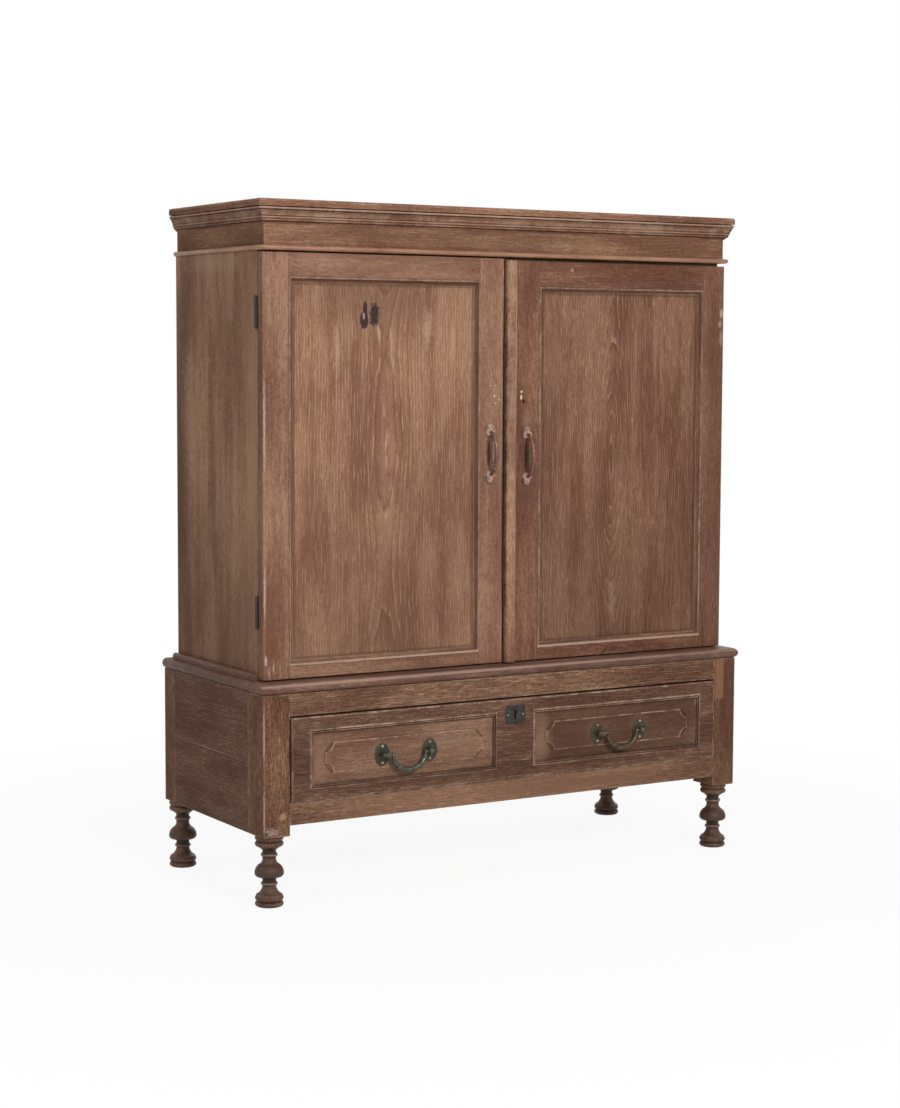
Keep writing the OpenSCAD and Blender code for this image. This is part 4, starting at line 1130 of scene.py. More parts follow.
FRAME_MARKS = (
    # Repair strip and fillers on the left hinge stile
    DOOR_FRONT.patch((-0.519, 0.532), (11, 78), paint(112, 74, 54), 0.65, 0.2, 0.2),
    DOOR_FRONT.spot((-0.512, 0.448), (1.8, 14), FILLER, 0.6, 1.6, 0.5),
    DOOR_FRONT.spot((-0.521, 0.440), (1.8, 12), FILLER, 0.6, 1.6, 0.5),
    DOOR_FRONT.spot((-0.528, 0.462), (3.4, 12), FILLER, 0.75, 1.2, 0.5),
    DOOR_FRONT.spot((-0.530, 0.590), (2.6, 60), FILLER, 0.65, 1.8, 0.5),
    # Painted shadows of the pulls' bows and round their leaves, a darker patch below the right pull and a
    # paler one above it
    DOOR_FRONT.spot((-0.0413, 0.840), (5.2, 38), paint(52, 33, 23), 0.9, 0.3, 0.5),
    DOOR_FRONT.spot((0.0458, 0.834), (5.2, 38), paint(46, 29, 22), 0.9, 0.3, 0.5),
    *(DOOR_FRONT.spot((-0.040, z), (13, 14), paint(62, 41, 31), 0.6, 0.3, 0.4) for z in (0.883, 0.791)),
    *(DOOR_FRONT.spot((0.046, z), (13, 14), paint(56, 37, 29), 0.6, 0.3, 0.4) for z in (0.877, 0.785)),
    DOOR_FRONT.spot((0.0480, 0.760), (30, 40), paint(86, 62, 50), 0.5, 0.6, 0.9),
    DOOR_FRONT.spot((0.0480, 0.905), (22, 30), paint(150, 118, 98), 0.35, 0.5, 0.9),
    # Worn hinge edge and a plugged knot on the right top rail
    DOOR_FRONT.spot((-0.530, 0.900), (3, 120), FILLER, 0.6, 1.6, 0.6),
    DOOR_FRONT.spot((0.152, 1.200), (5, 4.5), paint(186, 146, 116), 0.6, 0.4),
    # Old latch holes and paint drops above the pulls
    DOOR_FRONT.spot((0.0395, 0.941), (3.4, 4.5), HOLE, 0.95, 0.2, 0.3, 0.6),
    DOOR_FRONT.spot((0.0335, 0.949), (2.8, 5.5), CREAM, 0.95, 0.5),
    DOOR_FRONT.spot((0.0345, 0.960), (2.8, 3.2), CREAM, 0.95, 0.4),
    DOOR_FRONT.spot((0.0345, 0.923), (1.8, 1.8), HOLE, 0.6, 0.5),
    DOOR_FRONT.spot((-0.0290, 0.952), (2.4, 2.6), CREAM, 0.9, 0.4),
    DOOR_FRONT.spot((-0.0280, 0.938), (2, 1.8), CREAM, 0.8, 0.4),
    DOOR_FRONT.spot((-0.0175, 0.945), (1.8, 2.4), CREAM, 0.85, 0.4),
    DOOR_FRONT.spot((-0.0280, 0.972), (1.8, 1.8), CREAM, 0.6, 0.4),
    DOOR_FRONT.spot((-0.0365, 0.972), (1.6, 1.6), CREAM, 0.6, 0.4),
    # Chips on the right outer stile and a knot on the right bottom rail
    DOOR_FRONT.spot((0.527, 1.119), (5, 11), paint(208, 178, 150), 0.85, 0.9, 0.4),
    DOOR_FRONT.spot((0.524, 1.097), (5, 8), paint(196, 164, 138), 0.8, 1.0, 0.4),
    DOOR_FRONT.spot((0.527, 1.068), (5, 17), paint(196, 164, 138), 0.75, 1.3, 0.4),
    DOOR_FRONT.spot((0.240, 0.434), (4, 20), DARK, 0.8, 0.6, 0.5, 0.8),
    DOOR_FRONT.spot((0.262, 0.437), (14, 7), paint(84, 56, 44), 0.7, 0.7, 0.6),
    # Nail holes
    *(
        DOOR_FRONT.spot(at, (1.6, 1.6), HOLE, 0.9, 0.1)
        for at in ((-0.464, 1.201), (-0.080, 1.195), (0.508, 0.452))
    ),
    # Painted shade on the right outer stile, a paler left top rail and a darker right top rail
    DOOR_FRONT.patch((0.520, 0.800), (44, 480), paint(88, 60, 47), 0.5, 0.2, 0.6),
    DOOR_FRONT.patch((-0.270, 1.200), (250, 34), paint(180, 142, 116), 0.16, 0.3, 0.5),
    DOOR_FRONT.patch((0.280, 1.195), (250, 34), paint(92, 58, 43), 0.16, 0.3, 0.5),
    # Painted shadow in the gaps between the doors and above the right door
    DOOR_EDGE.patch((-0.0085, 0.822), (2.4, 400), DOOR_GAP_SHADOW, 0.8, 0.3, 0.5),
    DOOR_TOP.patch((0.270, 1.2165), (270, 2), paint(26, 18, 14), 0.8, 0.3, 0.5),
)
LEFT_PANEL_MARKS = (
    # Darker top, dark stains with a bare spot, pale streaks and painted shade on the lower half
    PANEL_FRONT.patch((-0.290, 1.140), (190, 70), paint(106, 75, 60), 0.5, 0.4, 0.9),
    PANEL_FRONT.spot((-0.316, 1.096), (10, 18), STAIN, 0.95, 0.5, 0.15),
    PANEL_FRONT.spot((-0.314, 1.118), (5, 14), STAIN, 0.95, 0.4, 0.15),
    PANEL_FRONT.spot((-0.294, 1.108), (11, 23), paint(50, 42, 42), 0.95, 1.4, 0.15),
    PANEL_FRONT.spot((-0.317, 1.104), (2.8, 7), paint(176, 148, 120), 0.85, 0.5),
    PANEL_FRONT.spot((-0.176, 1.085), (15, 44), paint(184, 156, 132), 0.55, 1.0, 0.9),
    PANEL_FRONT.spot((-0.374, 1.040), (8, 66), paint(186, 160, 136), 0.5, 1.0, 0.9),
    PANEL_FRONT.spot((-0.120, 1.060), (7, 60), paint(190, 160, 132), 0.45, 1.0, 0.9),
    PANEL_FRONT.patch((-0.270, 0.460), (300, 420), paint(92, 64, 50), 0.42, 0.3, 0.9),
)
RIGHT_PANEL_MARKS = (
    # Pale streaks and painted shade on the lower half
    PANEL_FRONT.spot((0.262, 0.530), (9, 66), paint(168, 140, 120), 0.6, 1.1, 0.8),
    PANEL_FRONT.spot((0.120, 1.020), (24, 120), paint(146, 112, 90), 0.4, 0.9, 0.9),
    PANEL_FRONT.patch((0.278, 0.460), (300, 420), paint(78, 53, 42), 0.42, 0.3, 0.9),
)
STAND_MARKS = (
    # Plug on the left post, tone and repair strip of the right post, pale bottom rail
    STAND_FRONT.spot((-0.510, 0.173), (9, 8), paint(166, 128, 96), 0.85, 0.7),
    RIGHT_POST.patch((0.530, 0.270), (60, 190), paint(72, 48, 38), 0.4, 0.2, 0.6),
    STAND_FRONT.patch((0.510, 0.360), (11, 44), paint(138, 98, 74), 0.8, 0.1, 0.1),
    BOTTOM_RAIL.patch((0.000, 0.175), (520, 34), paint(158, 118, 94), 0.4, 0.3, 0.5),
    # Fillers at the corner and the end of the left post
    POST_CORNER.spot((-0.549, 0.190), (2, 46), FILLER, 0.55, 2.2, 0.5),
    POST_END.spot((-0.532, 0.146), (16, 9), FILLER, 0.4, 2.6, 0.5),
    POST_CORNER.spot((-0.549, 0.330), (2, 60), FILLER, 0.45, 2.2, 0.5),
    # Painted shadow in the gap round the drawer
    *(STAND_FRONT.patch((x, 0.280), (2.4, 84), GAP_SHADOW, 0.8, 0.3, 0.6) for x in (-0.4955, 0.4955)),
    STAND_FRONT.patch((0.0, 0.198), (497, 2.2), GAP_SHADOW, 0.75, 0.3, 0.6),
)
FOOT_PLACES = tuple((x, y) for x in (-0.5225, 0.5225) for y in (-0.1786, 0.2094))
BELL_MARKS = tuple(
    Mark((x, y, 0.067), (70 * MM, 70 * MM, 22 * MM), paint(60, 42, 33), 0.7, 0.5, 0.7) for x, y in FOOT_PLACES
)
# Painted highlights round the beads of the feet
BEAD_HIGHLIGHTS = tuple(
    Mark((x, y, z), (60 * MM, 60 * MM, 2.4 * MM), paint(176, 150, 128), 0.4, 0.9, 0.8)
    for x, y in FOOT_PLACES
    for z in (0.044, 0.0985)
)
SIDE_MARKS = (
    # Painted shade at the rear and on the lower half, a pale front and a pale top of the left board
    CASE_SIDE.patch((0.210, 0.800), (90, 520), paint(74, 51, 41), 0.7, 0.5, 0.9),
    CASE_SIDE.patch((-0.150, 0.820), (80, 520), paint(178, 138, 106), 0.45, 0.4, 0.9),
    CASE_SIDE.patch((0.030, 0.430), (300, 340), paint(86, 62, 49), 0.45, 0.5, 0.9),
    CASE_SIDE.patch((0.030, 1.205), (180, 22), paint(170, 140, 118), 0.4, 0.5, 0.9),
)
DRAWER_MARKS = (
    # Dark left border, painted shade on the wood behind the keyhole and dark lower border
    DRAWER_FRONT.patch((-0.480, 0.277), (150, 90), paint(62, 43, 34), 0.4, 0.3, 0.8),
    KEYHOLE_WALL.patch((0.0, 0.3265), (8, 14), paint(8, 6, 5), 1.0, 0.0, 0.1),
    DRAWER_FRONT.patch((0.0, 0.222), (500, 16), paint(68, 46, 36), 0.45, 0.3, 0.6),
)
TABLET_MARKS = (
    # Dark right tablet, pale left slopes and rubbed wood beside the back plates
    TABLET_FRONT.patch((0.249, 0.277), (240, 80), paint(66, 41, 31), 0.65, 0.2, 0.3),
    TABLET_SLOPE.spot((0.062, 0.270), (34, 80), paint(148, 114, 90), 0.6, 0.3, 0.9),
    TABLET_SLOPE.spot((-0.436, 0.262), (34, 70), paint(160, 124, 98), 0.45, 0.4, 0.9),
    TABLET_FRONT.spot((-0.305, 0.277), (30, 34), paint(168, 132, 106), 0.3, 0.6, 0.8),
    *(TABLET_FRONT.spot((x, 0.277), (30, 34), paint(150, 118, 96), 0.3, 0.6, 0.8) for x in (0.195, 0.300)),
)
BASE_SIDE_MARKS = (
    # Joint between the two boards
    BASE_SIDE.spot((0.010, 0.2700), (170, 1.6), paint(156, 124, 100), 0.7, 0.7, 0.5),
    BASE_SIDE.spot((0.010, 0.2675), (170, 1.2), paint(40, 28, 23), 0.7, 0.7, 0.5),
)
NOSING_MARKS = (
    # Painted shade on the side, a dark right half of the front and a painted highlight along the top of the
    # round
    NOSING_SIDE.patch((0.030, 0.418), (236, 24), paint(74, 52, 43), 0.45, 0.3, 0.4),
    NOSING_FRONT.patch((0.300, 0.413), (460, 14), paint(78, 54, 42), 0.5, 0.4, 0.9),
    NOSING_TOP.spot((-0.160, 0.419), (1200, 4), paint(184, 152, 136), 0.6, 0.4, 0.8),
)
MOULDING_MARKS = (
    # Rubbed lower lengths with painted highlights
    MOULDING_FRONT.spot((-0.270, 0.453), (1200, 3.4), paint(188, 154, 130), 0.55, 1.0, 0.6),
    MOULDING_FRONT.spot((0.280, 0.453), (1200, 3.4), paint(196, 166, 146), 0.65, 0.9, 0.6),
)
CROWN_MARKS = (
    # Rubbed beads with painted highlights
    band(1.2985, 1.9, paint(190, 156, 138), 0.55, 0.7, 0.6),
    band(1.2820, 1.5, paint(176, 140, 116), 0.5, 0.7, 0.6),
    # Painted shade in the grooves beside the beads and in the cove
    band(1.3010, 1.1, GROOVE_SHADE, 0.85, 0.5, 0.4),
    band(1.2950, 1.2, GROOVE_SHADE, 0.85, 0.5, 0.4),
    band(1.2845, 1.0, COVE_SHADE, 0.75, 0.6, 0.4),
    band(1.2745, 1.6, COVE_SHADE, 0.7, 0.6, 0.5),
)
STRIP_MARKS = (
    # Chipped right edge and painted shadow at the left edge
    STRIP_FRONT.spot((0.0165, 1.040), (3.2, 170), paint(216, 182, 150), 0.8, 2.4, 0.4),
    STRIP_FRONT.spot((0.0165, 0.640), (3.2, 210), paint(206, 170, 138), 0.55, 2.4, 0.4),
    STRIP_FRONT.patch((-0.0045, 0.822), (2.2, 400), DOOR_GAP_SHADOW, 0.8, 0.3, 0.4),
)
# Soiling and painted shade inside the panel recesses and the drawer fields
LEFT_RECESS = GrimeAndShade((-0.466, 0.463), (-0.075, 1.162), 4 * MM, paint(76, 52, 40), 0.5)
RIGHT_RECESS = GrimeAndShade((0.089, 0.463), (0.466, 1.153), 4 * MM, paint(70, 47, 37), 0.45)
LEFT_FIELD = GrimeAndShade((-0.4478, 0.2275), (-0.0502, 0.3258), 4 * MM, strength=0.55)
RIGHT_FIELD = GrimeAndShade((0.0502, 0.2275), (0.4478, 0.3258), 4 * MM, strength=0.55)

LEFT_FRAME = Timber(
    "left_frame_wood", paint(138, 102, 82), DARK, PALE, liming=0.45, mottling=1.1, dashing=0.8, wear=0.15,
    marks=FRAME_MARKS,
)
RIGHT_FRAME = Timber(
    "right_frame_wood", paint(117, 80, 63), DARK, PALE, liming=0.35, mottling=1.3, dashing=0.9, wear=0.07,
    marks=FRAME_MARKS,
)
LEFT_MOULDING = Timber(
    "left_moulding_wood", paint(130, 95, 75), DARK, PALE, soil_and_shade=paint(66, 44, 34), wear=0.35, dirt_and_shade=0.5,
    marks=MOULDING_MARKS,
)
RIGHT_MOULDING = Timber(
    "right_moulding_wood", paint(120, 86, 69), DARK, PALE, soil_and_shade=paint(62, 42, 33), wear=0.4, dirt_and_shade=0.4,
    marks=MOULDING_MARKS,
)
LEFT_PANEL = Timber(
    "left_panel_wood", paint(142, 105, 83), paint(92, 64, 50), paint(190, 154, 120), heart=20 * MM,
    figure=0.45, flame=0.9, liming=0.8, marks=LEFT_PANEL_MARKS, grime_and_shade=(LEFT_RECESS,),
)
RIGHT_PANEL = Timber(
    "right_panel_wood", paint(124, 88, 69), paint(78, 53, 41), paint(184, 148, 118), heart=20 * MM,
    figure=0.45, flame=0.8, liming=0.65, marks=RIGHT_PANEL_MARKS, grime_and_shade=(RIGHT_RECESS,),
)
STRIP_WOOD = Timber(
    "strip_wood", paint(142, 104, 78), paint(96, 67, 50), paint(206, 172, 144), mottling=1.6, wear=0.3,
    marks=STRIP_MARKS,
)
STAND_WOOD = Timber(
    "stand_wood", paint(112, 81, 63), paint(66, 45, 34), paint(190, 156, 126), paint(190, 160, 136),
    liming=0.7, streaks=0.8, clouds=0.8, mottling=1.7, dashing=1.6, wear=0.55, marks=STAND_MARKS,
)
POST_WOOD = Timber(
    "post_wood", paint(112, 79, 59), paint(64, 43, 31), paint(180, 146, 116), paint(190, 160, 136),
    flame=0.15, liming=0.5, streaks=0.5, clouds=0.6, mottling=2.2, dashing=1.4, wear=0.6, marks=STAND_MARKS,
)
SIDE_WOOD = Timber(
    "side_wood", paint(150, 115, 90), paint(96, 68, 52), paint(190, 158, 130), liming=0.6, streaks=1.0,
    clouds=0.9, mottling=1.1, dashing=0.7, wear=0.4, marks=SIDE_MARKS,
)
BASE_SIDE_WOOD = Timber(
    "base_side_wood", paint(100, 72, 58), paint(58, 41, 32), paint(170, 142, 118), paint(176, 148, 124),
    rise=0.4, figure=0.4, flame=0.7, liming=0.5, streaks=0.6, clouds=0.6, mottling=1.0, dashing=0.8,
    wear=0.4, marks=BASE_SIDE_MARKS,
)
DRAWER_WOOD = Timber(
    "drawer_wood", paint(96, 68, 54), paint(54, 37, 28), paint(172, 138, 112), liming=0.55, streaks=0.5,
    mottling=1.3, dashing=1.5, wear=0.65, marks=DRAWER_MARKS,
)
BEAD_WOOD = Timber("drawer_bead_wood", paint(110, 80, 64), paint(60, 41, 32), paint(176, 142, 116), wear=1.0)
TABLET_WOOD = Timber(
    "drawer_panel_wood", paint(127, 95, 76), paint(78, 55, 43), paint(180, 148, 120), soil_and_shade=paint(72, 51, 40),
    dashing=0.6, wear=0.9, marks=TABLET_MARKS, grime_and_shade=(LEFT_FIELD, RIGHT_FIELD),
)
CORNICE_WOOD = Timber(
    "cornice_wood", paint(125, 91, 69), paint(80, 55, 42), paint(180, 146, 118), streaks=0.9, clouds=0.9,
    mottling=1.1, dashing=0.7, wear=0.3,
)
CROWN_WOOD = Timber(
    "crown_wood", paint(126, 88, 67), paint(66, 45, 34), paint(180, 146, 118), soil_and_shade=paint(30, 20, 15),
    streaks=1.0, clouds=0.9, mottling=1.4, dashing=1.0, wear=0.45, marks=CROWN_MARKS,
)
FRIEZE_BEAD_WOOD = Timber(
    "frieze_bead_wood", paint(158, 114, 88), paint(90, 62, 47), PALE, mottling=1.2, wear=0.1,
    roughness=0.5, sheen=0.3,
)
NOSING_WOOD = Timber(
    "nosing_wood", paint(112, 81, 68), paint(70, 48, 39), paint(176, 142, 122), mottling=0.6, dashing=0.8,
    wear=0.12, roughness=0.6, marks=NOSING_MARKS,
)
FOOT_WOOD = Timber(
    "foot_wood", paint(100, 72, 56), paint(44, 31, 25), paint(160, 130, 108), paint(180, 152, 130),
    paint(32, 23, 18), liming=0.45, streaks=1.2, clouds=1.4, mottling=1.8, dashing=0.9, wear=0.75, dirt_and_shade=0.9,
    roughness=0.5, sheen=0.3, marks=(*BELL_MARKS, *BEAD_HIGHLIGHTS),
)
RAW_WOOD = Timber("raw_wood", paint(158, 124, 92), paint(120, 88, 62), paint(186, 156, 124), wear=0.4)
PLANK_WOOD = Timber("plank_wood", paint(118, 90, 70), paint(80, 58, 44), paint(158, 128, 102), wear=0.5)
LEFT_BRASS = OldBrass("left_bail_brass", paint(76, 78, 64), paint(46, 54, 47), paint(150, 146, 120), 0.32)
RIGHT_BRASS = OldBrass("right_bail_brass", paint(84, 68, 48), paint(48, 42, 33), paint(164, 142, 108), 0.32)
PLATE_BRASS = OldBrass(
    "plate_brass", paint(60, 58, 46), paint(42, 46, 40), paint(112, 106, 86), right=paint(70, 59, 43)
)
LOCK_BRASS = OldBrass("lock_plate_brass", paint(34, 29, 23), paint(24, 21, 17), paint(92, 81, 65), 0.6, 0.1)
LEAF_BRONZE = OldBrass(
    "leaf_bronze", paint(156, 122, 105), paint(122, 92, 77), paint(220, 190, 172), 0.4, 0.2,
    relief=(-0.1781, -0.1835),
)
BOW_BRONZE = OldBrass("bow_bronze", paint(116, 84, 73), paint(84, 59, 51), paint(196, 164, 150), 0.26, 0.5)
SCREW_STEEL = OldBrass(
    "screw_steel", paint(196, 172, 148), paint(140, 120, 98), paint(222, 204, 184), 0.4, 0.4
)
HINGE_IRON = OldBrass("hinge_iron", paint(30, 27, 26), paint(40, 31, 27), paint(66, 60, 57), 0.65, 0.4)
ZINC = SheetZinc("zinc_sheet")
CORK = PressedCork("pressed_cork")


@dataclass
class Stand:
    """Feet, posts, rails, side boards and deck of the drawer stand."""

    shop: Shop
    rim: float = 1.3 * MM
    turned_rim: float = 0.7 * MM

    def build(self) -> None:
        """Dresses the stand from the floor up."""
        for end in ("front", "rear"):
            for side in ("left", "right"):
                self.shop.board(f"foot_{end}_{side}", FOOT_WOOD, Lay.HEIGHT, self.turned_rim)
                self.shop.board(f"post_{end}_{side}", POST_WOOD, Lay.HEIGHT, self.rim)
        for node in ("base_top_rail", "base_bottom_rail", "deck_board"):
            self.shop.board(node, STAND_WOOD, Lay.LONGEST, self.rim)
        for node, order in (("deck_nosing", Order.FRONT_RIGHT_LEFT), ("case_keepers", Order.LEFT_FIRST)):
            self.shop.board(node, NOSING_WOOD, Lay.LONGEST, self.turned_rim, order=order)
        for node in ("base_left_side", "base_right_side", "base_back"):
            self.shop.board(node, BASE_SIDE_WOOD, Lay.LONGEST, self.rim)
        self.shop.board("drawer_runners", RAW_WOOD, order=Order.RIGHT_FIRST)


@dataclass
class Case:
    """Side boards, back, cornice and lining of the case."""

    shop: Shop
    rim: float = 1.2 * MM
    moulding_rim: float = 0.5 * MM
    sheet_rim: float = 0.3 * MM
    cork_rim: float = 0.5 * MM
    iron_rim: float = 0.2 * MM

    def build(self) -> None:
        """Dresses the case from outside to inside."""
        for node in ("case_left_side", "case_right_side"):
            self.shop.board(node, SIDE_WOOD, Lay.HEIGHT, self.rim)
        self.shop.board("case_back_planks", PLANK_WOOD, Lay.HEIGHT, self.rim)
        self.shop.board("cornice_box", CORNICE_WOOD, rim=self.rim, order=Order.SIDES_LAST)
        mouldings = (
            ("frieze_bead", FRIEZE_BEAD_WOOD, Order.RIGHT_LEFT_FRONT),
            ("crown_moulding", CROWN_WOOD, Order.FRONT_LEFT_RIGHT),
        )
        for node, wood, order in mouldings:
            self.shop.board(node, wood, rim=self.moulding_rim, order=order)
        for node in ("case_floor", "case_ceiling", "mouth_frame", "shelf_cleats", "slatted_shelf"):
            self.shop.board(node, RAW_WOOD, order=Order.SIDES_FIRST)
        for node in ("zinc_liner", "ice_tray"):
            self.shop.board(node, ZINC, rim=self.sheet_rim, line=NO_LINE)
        self.shop.board("insulation", CORK, rim=self.cork_rim, line=NO_LINE)
        self.shop.board("case_hinges", HINGE_IRON, rim=self.iron_rim, line=NO_LINE)


@dataclass(frozen=True)
class Lobe:
    """A swelling of a pull's leaf, in millimetres from the leaf's tip; one off the middle is a pair."""

    down: float
    radii: Point
    aside: float = 0.0

    def places(self) -> Tuple[float, ...]:
        """Gives the lobe's places across the leaf."""
        return (-self.aside, self.aside) if self.aside else (self.aside,)


LEAF_LOBES = (
    # Low swellings of the plate
    Lobe(7.2, (7.1, 3.4, 7.1)),
    Lobe(12.5, (8.6, 3.4, 7.0)),
    Lobe(18.5, (7.4, 3.6, 7.4), 4.1),
    # Raised lobes and ribs on them
    Lobe(4.4, (2.6, 4.4, 2.6)),
    Lobe(7.6, (2.3, 4.6, 2.6), 3.6),
    Lobe(14.5, (3.2, 5.0, 7.5)),
    Lobe(15.6, (3.0, 4.6, 3.6), 6.6),
    Lobe(21.6, (3.0, 4.4, 2.8), 5.6),
    Lobe(19.5, (3.8, 5.8, 4.4)),
)


@dataclass
class Doors:
    """The two panelled doors with their pulls."""

    shop: Shop
    forge: Forge
    rim: float = 1.2 * MM
    moulding_rim: float = 0.7 * MM
    lining_rim: float = 0.8 * MM
    iron_rim: float = 0.2 * MM
    left_heart: float = -0.27
    right_heart: float = 0.257
    leaf_root: float = 17 * MM
    bow_r: float = 3.8 * MM
    bow_end_r: float = 3.2 * MM

    def build(self) -> None:
        """Dresses both doors."""
        woods = {
            "left_door": (LEFT_FRAME, LEFT_MOULDING, LEFT_PANEL, self.left_heart, Order.LEFT_FIRST),
            "right_door": (RIGHT_FRAME, RIGHT_MOULDING, RIGHT_PANEL, self.right_heart, Order.RIGHT_FIRST),
        }
        for door, (frame_wood, moulding_wood, panel_wood, heart, order) in woods.items():
            self.shop.board(f"{door}_stiles", frame_wood, Lay.HEIGHT, self.rim, order=order)
            self.shop.board(f"{door}_rails", frame_wood, Lay.WIDTH, self.rim, order=order)
            self.shop.board(f"{door}_panel", panel_wood, Lay.HEIGHT, self.rim, heart=heart)
            self.shop.board(f"{door}_moulding", moulding_wood, Lay.FRAME, self.moulding_rim)
            self.shop.board(f"{door}_lining", ZINC, rim=self.lining_rim, line=NO_LINE)
            self.shop.board(f"{door}_hinges", HINGE_IRON, rim=self.iron_rim, line=NO_LINE)
            self.pull(f"{door}_pull")
        self.shop.board("right_door_astragal", STRIP_WOOD, Lay.HEIGHT, self.moulding_rim)

    def pull(self, node: str) -> None:
        """Casts a bowed pull with a lobed leaf at each end.

        Args:
            node: CAD node that it replaces.
        """
        low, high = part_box(node)
        middle = (low + high) / 2
        face = high.y
        bm = bmesh.new()
        for end in (-1.0, 1.0):
            tip = high.z if end > 0 else low.z
            for lobe in LEAF_LOBES:
                for aside in lobe.places():
                    centre = Vector((middle.x + aside * MM, face, tip - end * lobe.down * MM))
                    self.forge.ball(bm, centre, tuple(r * MM for r in lobe.radii))
        self.forge.flush(bm, face)
        self.shop.piece(bm, f"{node}_leaves", LEAF_BRONZE, body_of(node), slot_of(node), [node])
        bow = bmesh.new()
        half = Vector((0.0, 0.0, (high.z - low.z) / 2 - self.leaf_root))
        reach = Vector((0.0, low.y + self.bow_r - face, 0.0))
        self.forge.bow(bow, Vector((middle.x, face, middle.z)), half, reach, self.bow_end_r, self.bow_r)
        self.forge.flush(bow, face)
        self.shop.piece(bow, f"{node}_bow", BOW_BRONZE, body_of(node), slot_of(node), [node])


@dataclass
class Drawer:
    """The drawer with its raised panels, bails and lock."""

    shop: Shop
    forge: Forge
    rim: float = 1.0 * MM
    tablet_rim: float = 0.6 * MM
    tablet_line: float = 2.4 * MM
    bead_rim: float = 0.4 * MM
    bead_line: float = 1.0 * MM
    lock_rim: float = 0.3 * MM
    rosette_rim: float = 0.5 * MM
    bail_half: float = 36 * MM
    bail_drop: float = 32 * MM
    bail_r: float = 5.3 * MM
    bail_end_r: float = 3.4 * MM
    bail_steps: int = 48
    eye_r: float = 4.0 * MM
    bail_pin_r: float = 2.4 * MM
    bail_pin_end: float = 55.4 * MM
    post_gap: float = 105 * MM
    screw_rise: float = 16 * MM
    screw_r: float = 2.4 * MM
    plate_t: float = 2.5 * MM
    lock_pin_aside: float = 17 * MM
    lock_pin_r: float = 1.5 * MM
    lock_pin_slot: float = 0.2 * MM

    def build(self) -> None:
        """Dresses the drawer."""
        self.shop.board("drawer_front", DRAWER_WOOD, Lay.WIDTH, self.rim)
        self.shop.board("drawer_panels", TABLET_WOOD, Lay.WIDTH, self.tablet_rim, self.tablet_line)
        self.shop.board(
            "drawer_panel_beads", BEAD_WOOD, Lay.FRAME, self.bead_rim, self.bead_line, Order.RIGHT_FIRST
        )
        for node in ("drawer_sides", "drawer_back", "drawer_bottom"):
            self.shop.board(node, RAW_WOOD, order=Order.RIGHT_FIRST)
        self.shop.board("escutcheon", LOCK_BRASS, rim=self.lock_rim, line=NO_LINE)
        for node in ("lock_case", "lock_bolt"):
            self.shop.board(node, HINGE_IRON, rim=self.lock_rim, line=NO_LINE)
        self.shop.board("bail_rosettes", PLATE_BRASS, rim=self.rosette_rim, line=NO_LINE)
        self.bail("left_bail", LEFT_BRASS)
        self.bail("right_bail", RIGHT_BRASS)
        self.screws()

    def bail(self, node: str, metal: Finish) -> None:
        """Casts a swelling bail with an eye and a pin at each end.

        Args:
            node: CAD node that it replaces.
            metal: Finish of the bail.
        """
        pivot = pivot_of(f"{node}_lift")
        bm = bmesh.new()
        half, drop = Vector((self.bail_half, 0.0, 0.0)), Vector((0.0, 0.0, -self.bail_drop))
        self.forge.bow(bm, pivot, half, drop, self.bail_end_r, self.bail_r, self.bail_steps)
        for side in (-1.0, 1.0):
            eye = pivot + side * half
            self.forge.ball(bm, eye, (self.eye_r, self.eye_r, self.eye_r))
            end = pivot + Vector((side * self.bail_pin_end, 0.0, 0.0))
            self.forge.rod(bm, eye, end, self.bail_pin_r, self.bail_pin_r)
        bmesh.ops.recalc_face_normals(bm, faces=bm.faces)
        self.shop.piece(bm, f"{node}_dressed", metal, body_of(node), slot_of(node), [node])

    def screws(self) -> None:
        """Adds the slotted screws of the back plates and the pins of the escutcheon."""
        rng = random.Random("screws")
        bm = bmesh.new()
        _, plates_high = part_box("bail_rosettes")
        face = plates_high.y - self.plate_t
        for joint in ("left_bail_lift", "right_bail_lift"):
            pivot = pivot_of(joint)
            for aside in (-0.5, 0.5):
                for rise in (-self.screw_rise, self.screw_rise):
                    at = Vector((pivot.x + aside * self.post_gap, face, pivot.z + rise))
                    self.forge.screw(bm, at, self.screw_r, rng.uniform(0.0, math.pi))
        low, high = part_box("escutcheon")
        for side in (-1.0, 1.0):
            at = Vector((side * self.lock_pin_aside, low.y, (low.z + high.z) / 2))
            self.forge.screw(bm, at, self.lock_pin_r, rng.uniform(0.0, math.pi), self.lock_pin_slot)
        self.shop.piece(bm, "drawer_screws", SCREW_STEEL, "drawer", slot_of("bail_rosettes"))


@dataclass(frozen=True)
class Lamp:
    """A soft square lamp: its place, the point that it faces, its side and its power in watts."""

    name: str
    at: Point
    to: Point
    side: float
    power: float


LAMPS = (
    Lamp("key_light", (-0.4, -4.0, 2.1), (-0.1, 0.0, 0.8), 0.9, 88.0),
    Lamp("side_light", (-3.2, -1.4, 2.7), (-0.5, 0.0, 0.8), 1.8, 22.0),
    Lamp("top_light", (0.0, -0.6, 4.2), (0.0, 0.0, 0.5), 2.4, 24.0),
    Lamp("back_light", (3.0, 2.6, 2.2), (0.2, 0.1, 0.7), 2.4, 34.0),
)


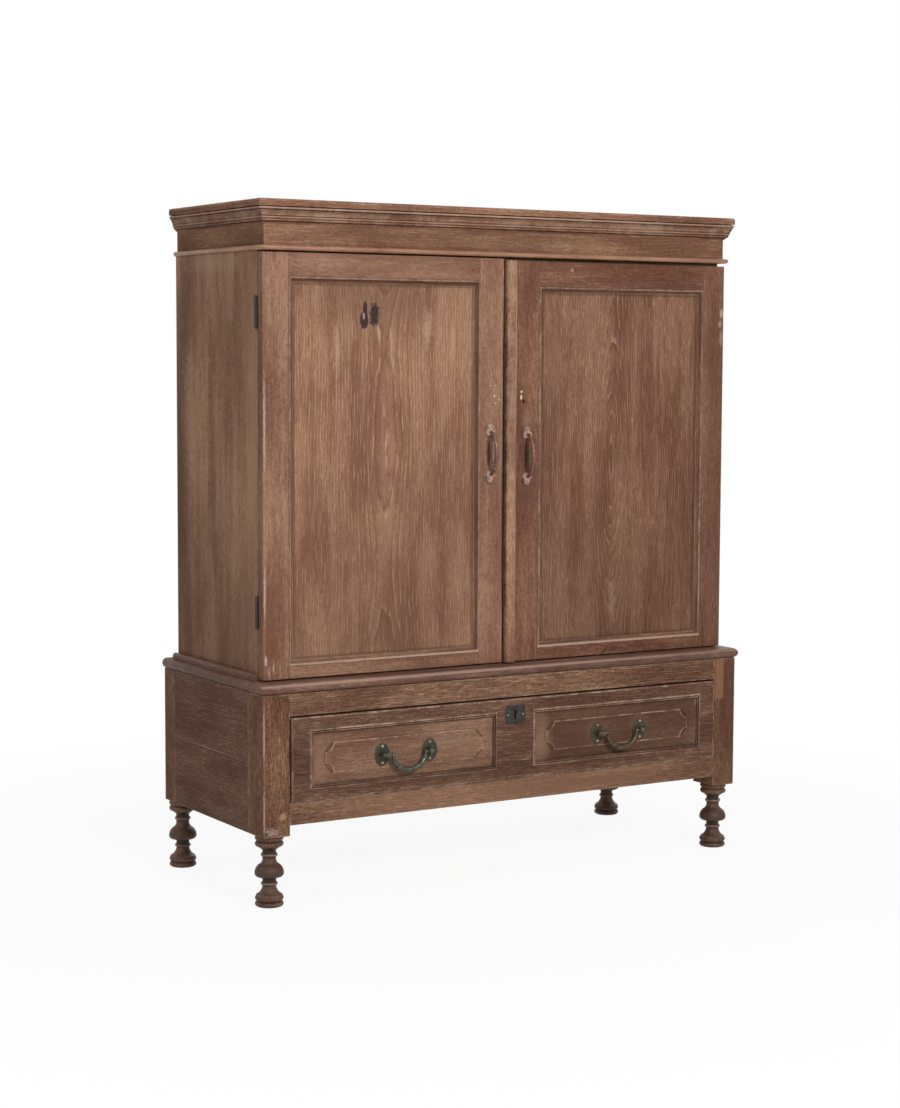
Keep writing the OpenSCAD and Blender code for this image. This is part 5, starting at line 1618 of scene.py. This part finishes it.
@dataclass
class Studio:
    """Floor, light and camera."""

    eye: Point = (-2.400, -3.9225, 1.0320)
    turn: float = math.radians(31.24)
    tilt: float = math.radians(-5.035)
    roll: float = math.radians(0.249)
    focal_px: float = 2262.66
    frame_h_px: float = 1108.0
    sensor: float = 36.0
    floor_size: float = 60.0
    shadow_share: float = 0.08
    shadow_start: float = 0.7
    shadow_end: float = 1.9
    ambient: float = 0.28

    def build(self) -> None:
        """Sets up the stage."""
        self.floor()
        self.world()
        for lamp in LAMPS:
            self.hang(lamp)
        self.camera()
        bpy.context.scene.view_settings.view_transform = "Standard"

    def floor(self) -> None:
        """Lays the white floor, which keeps a faint shadow near the object."""
        bm = bmesh.new()
        bmesh.ops.create_grid(bm, x_segments=1, y_segments=1, size=self.floor_size / 2)
        mesh = bpy.data.meshes.new("floor")
        bm.to_mesh(mesh)
        bm.free()
        floor = bpy.data.objects.new("floor", mesh)
        bpy.context.scene.collection.objects.link(floor)
        tree = Tree("white_floor")
        away = tree.node("ShaderNodeVectorMath", {"operation": "LENGTH"}, {0: tree.place()}, "Value")
        matt = tree.node("ShaderNodeBsdfDiffuse", None, {"Color": FLOOR_WHITE})
        glow = tree.node("ShaderNodeEmission", None, {"Color": WHITE, "Strength": 1.0})
        clear = away.step(self.shadow_start, self.shadow_end)
        share = tree.seen() * (clear * self.shadow_share + (1.0 - self.shadow_share))
        mixed = tree.node("ShaderNodeMixShader", None, {0: share, 1: matt, 2: glow})
        tree.node("ShaderNodeOutputMaterial", None, {"Surface": mixed})
        mesh.materials.append(tree.owner)

    def world(self) -> None:
        """Makes the surroundings white to the camera and softly bright to the object."""
        tree = Tree("studio", world=True)
        soft = tree.node("ShaderNodeBackground", None, {"Color": WHITE, "Strength": self.ambient})
        white = tree.node("ShaderNodeBackground", None, {"Color": WHITE, "Strength": 1.0})
        mixed = tree.node("ShaderNodeMixShader", None, {0: tree.seen(), 1: soft, 2: white})
        tree.node("ShaderNodeOutputWorld", None, {"Surface": mixed})
        bpy.context.scene.world = tree.owner

    @staticmethod
    def hang(lamp: Lamp) -> None:
        """Hangs one lamp, which the camera doesn't see.

        Args:
            lamp: Name, place, aim, size and power of the lamp.
        """
        data = bpy.data.lights.new(lamp.name, "AREA")
        data.energy = lamp.power
        data.size = lamp.side
        hung = bpy.data.objects.new(lamp.name, data)
        hung.visible_camera = False
        hung.location = lamp.at
        hung.rotation_euler = (Vector(lamp.to) - Vector(lamp.at)).to_track_quat("-Z", "Y").to_euler()
        bpy.context.scene.collection.objects.link(hung)

    def camera(self) -> None:
        """Places the camera at the photograph's viewing angle."""
        flat = math.cos(self.tilt)
        ahead = Vector((math.sin(self.turn) * flat, math.cos(self.turn) * flat, math.sin(self.tilt)))
        level = Vector((math.cos(self.turn), -math.sin(self.turn), 0.0))
        above = level.cross(ahead)
        right = math.cos(self.roll) * level + math.sin(self.roll) * above
        up = math.cos(self.roll) * above - math.sin(self.roll) * level
        data = bpy.data.cameras.new("camera")
        data.sensor_width = self.sensor
        data.lens = self.focal_px * self.sensor / self.frame_h_px
        camera = bpy.data.objects.new("camera", data)
        turn = Matrix((right, up, -ahead)).transposed().to_4x4()
        camera.matrix_world = Matrix.Translation(Vector(self.eye)) @ turn
        bpy.context.scene.collection.objects.link(camera)
        bpy.context.scene.camera = camera


def main() -> None:
    """Builds the cabinet and its studio."""
    logging.basicConfig(level=logging.INFO)
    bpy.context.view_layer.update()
    shop, forge = Shop(), Forge()
    for part in (Stand(shop), Case(shop), Doors(shop, forge), Drawer(shop, forge), Studio()):
        part.build()
        LOG.info("%s done", type(part).__name__)
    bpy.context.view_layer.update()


if __name__ == "__main__":
    main()
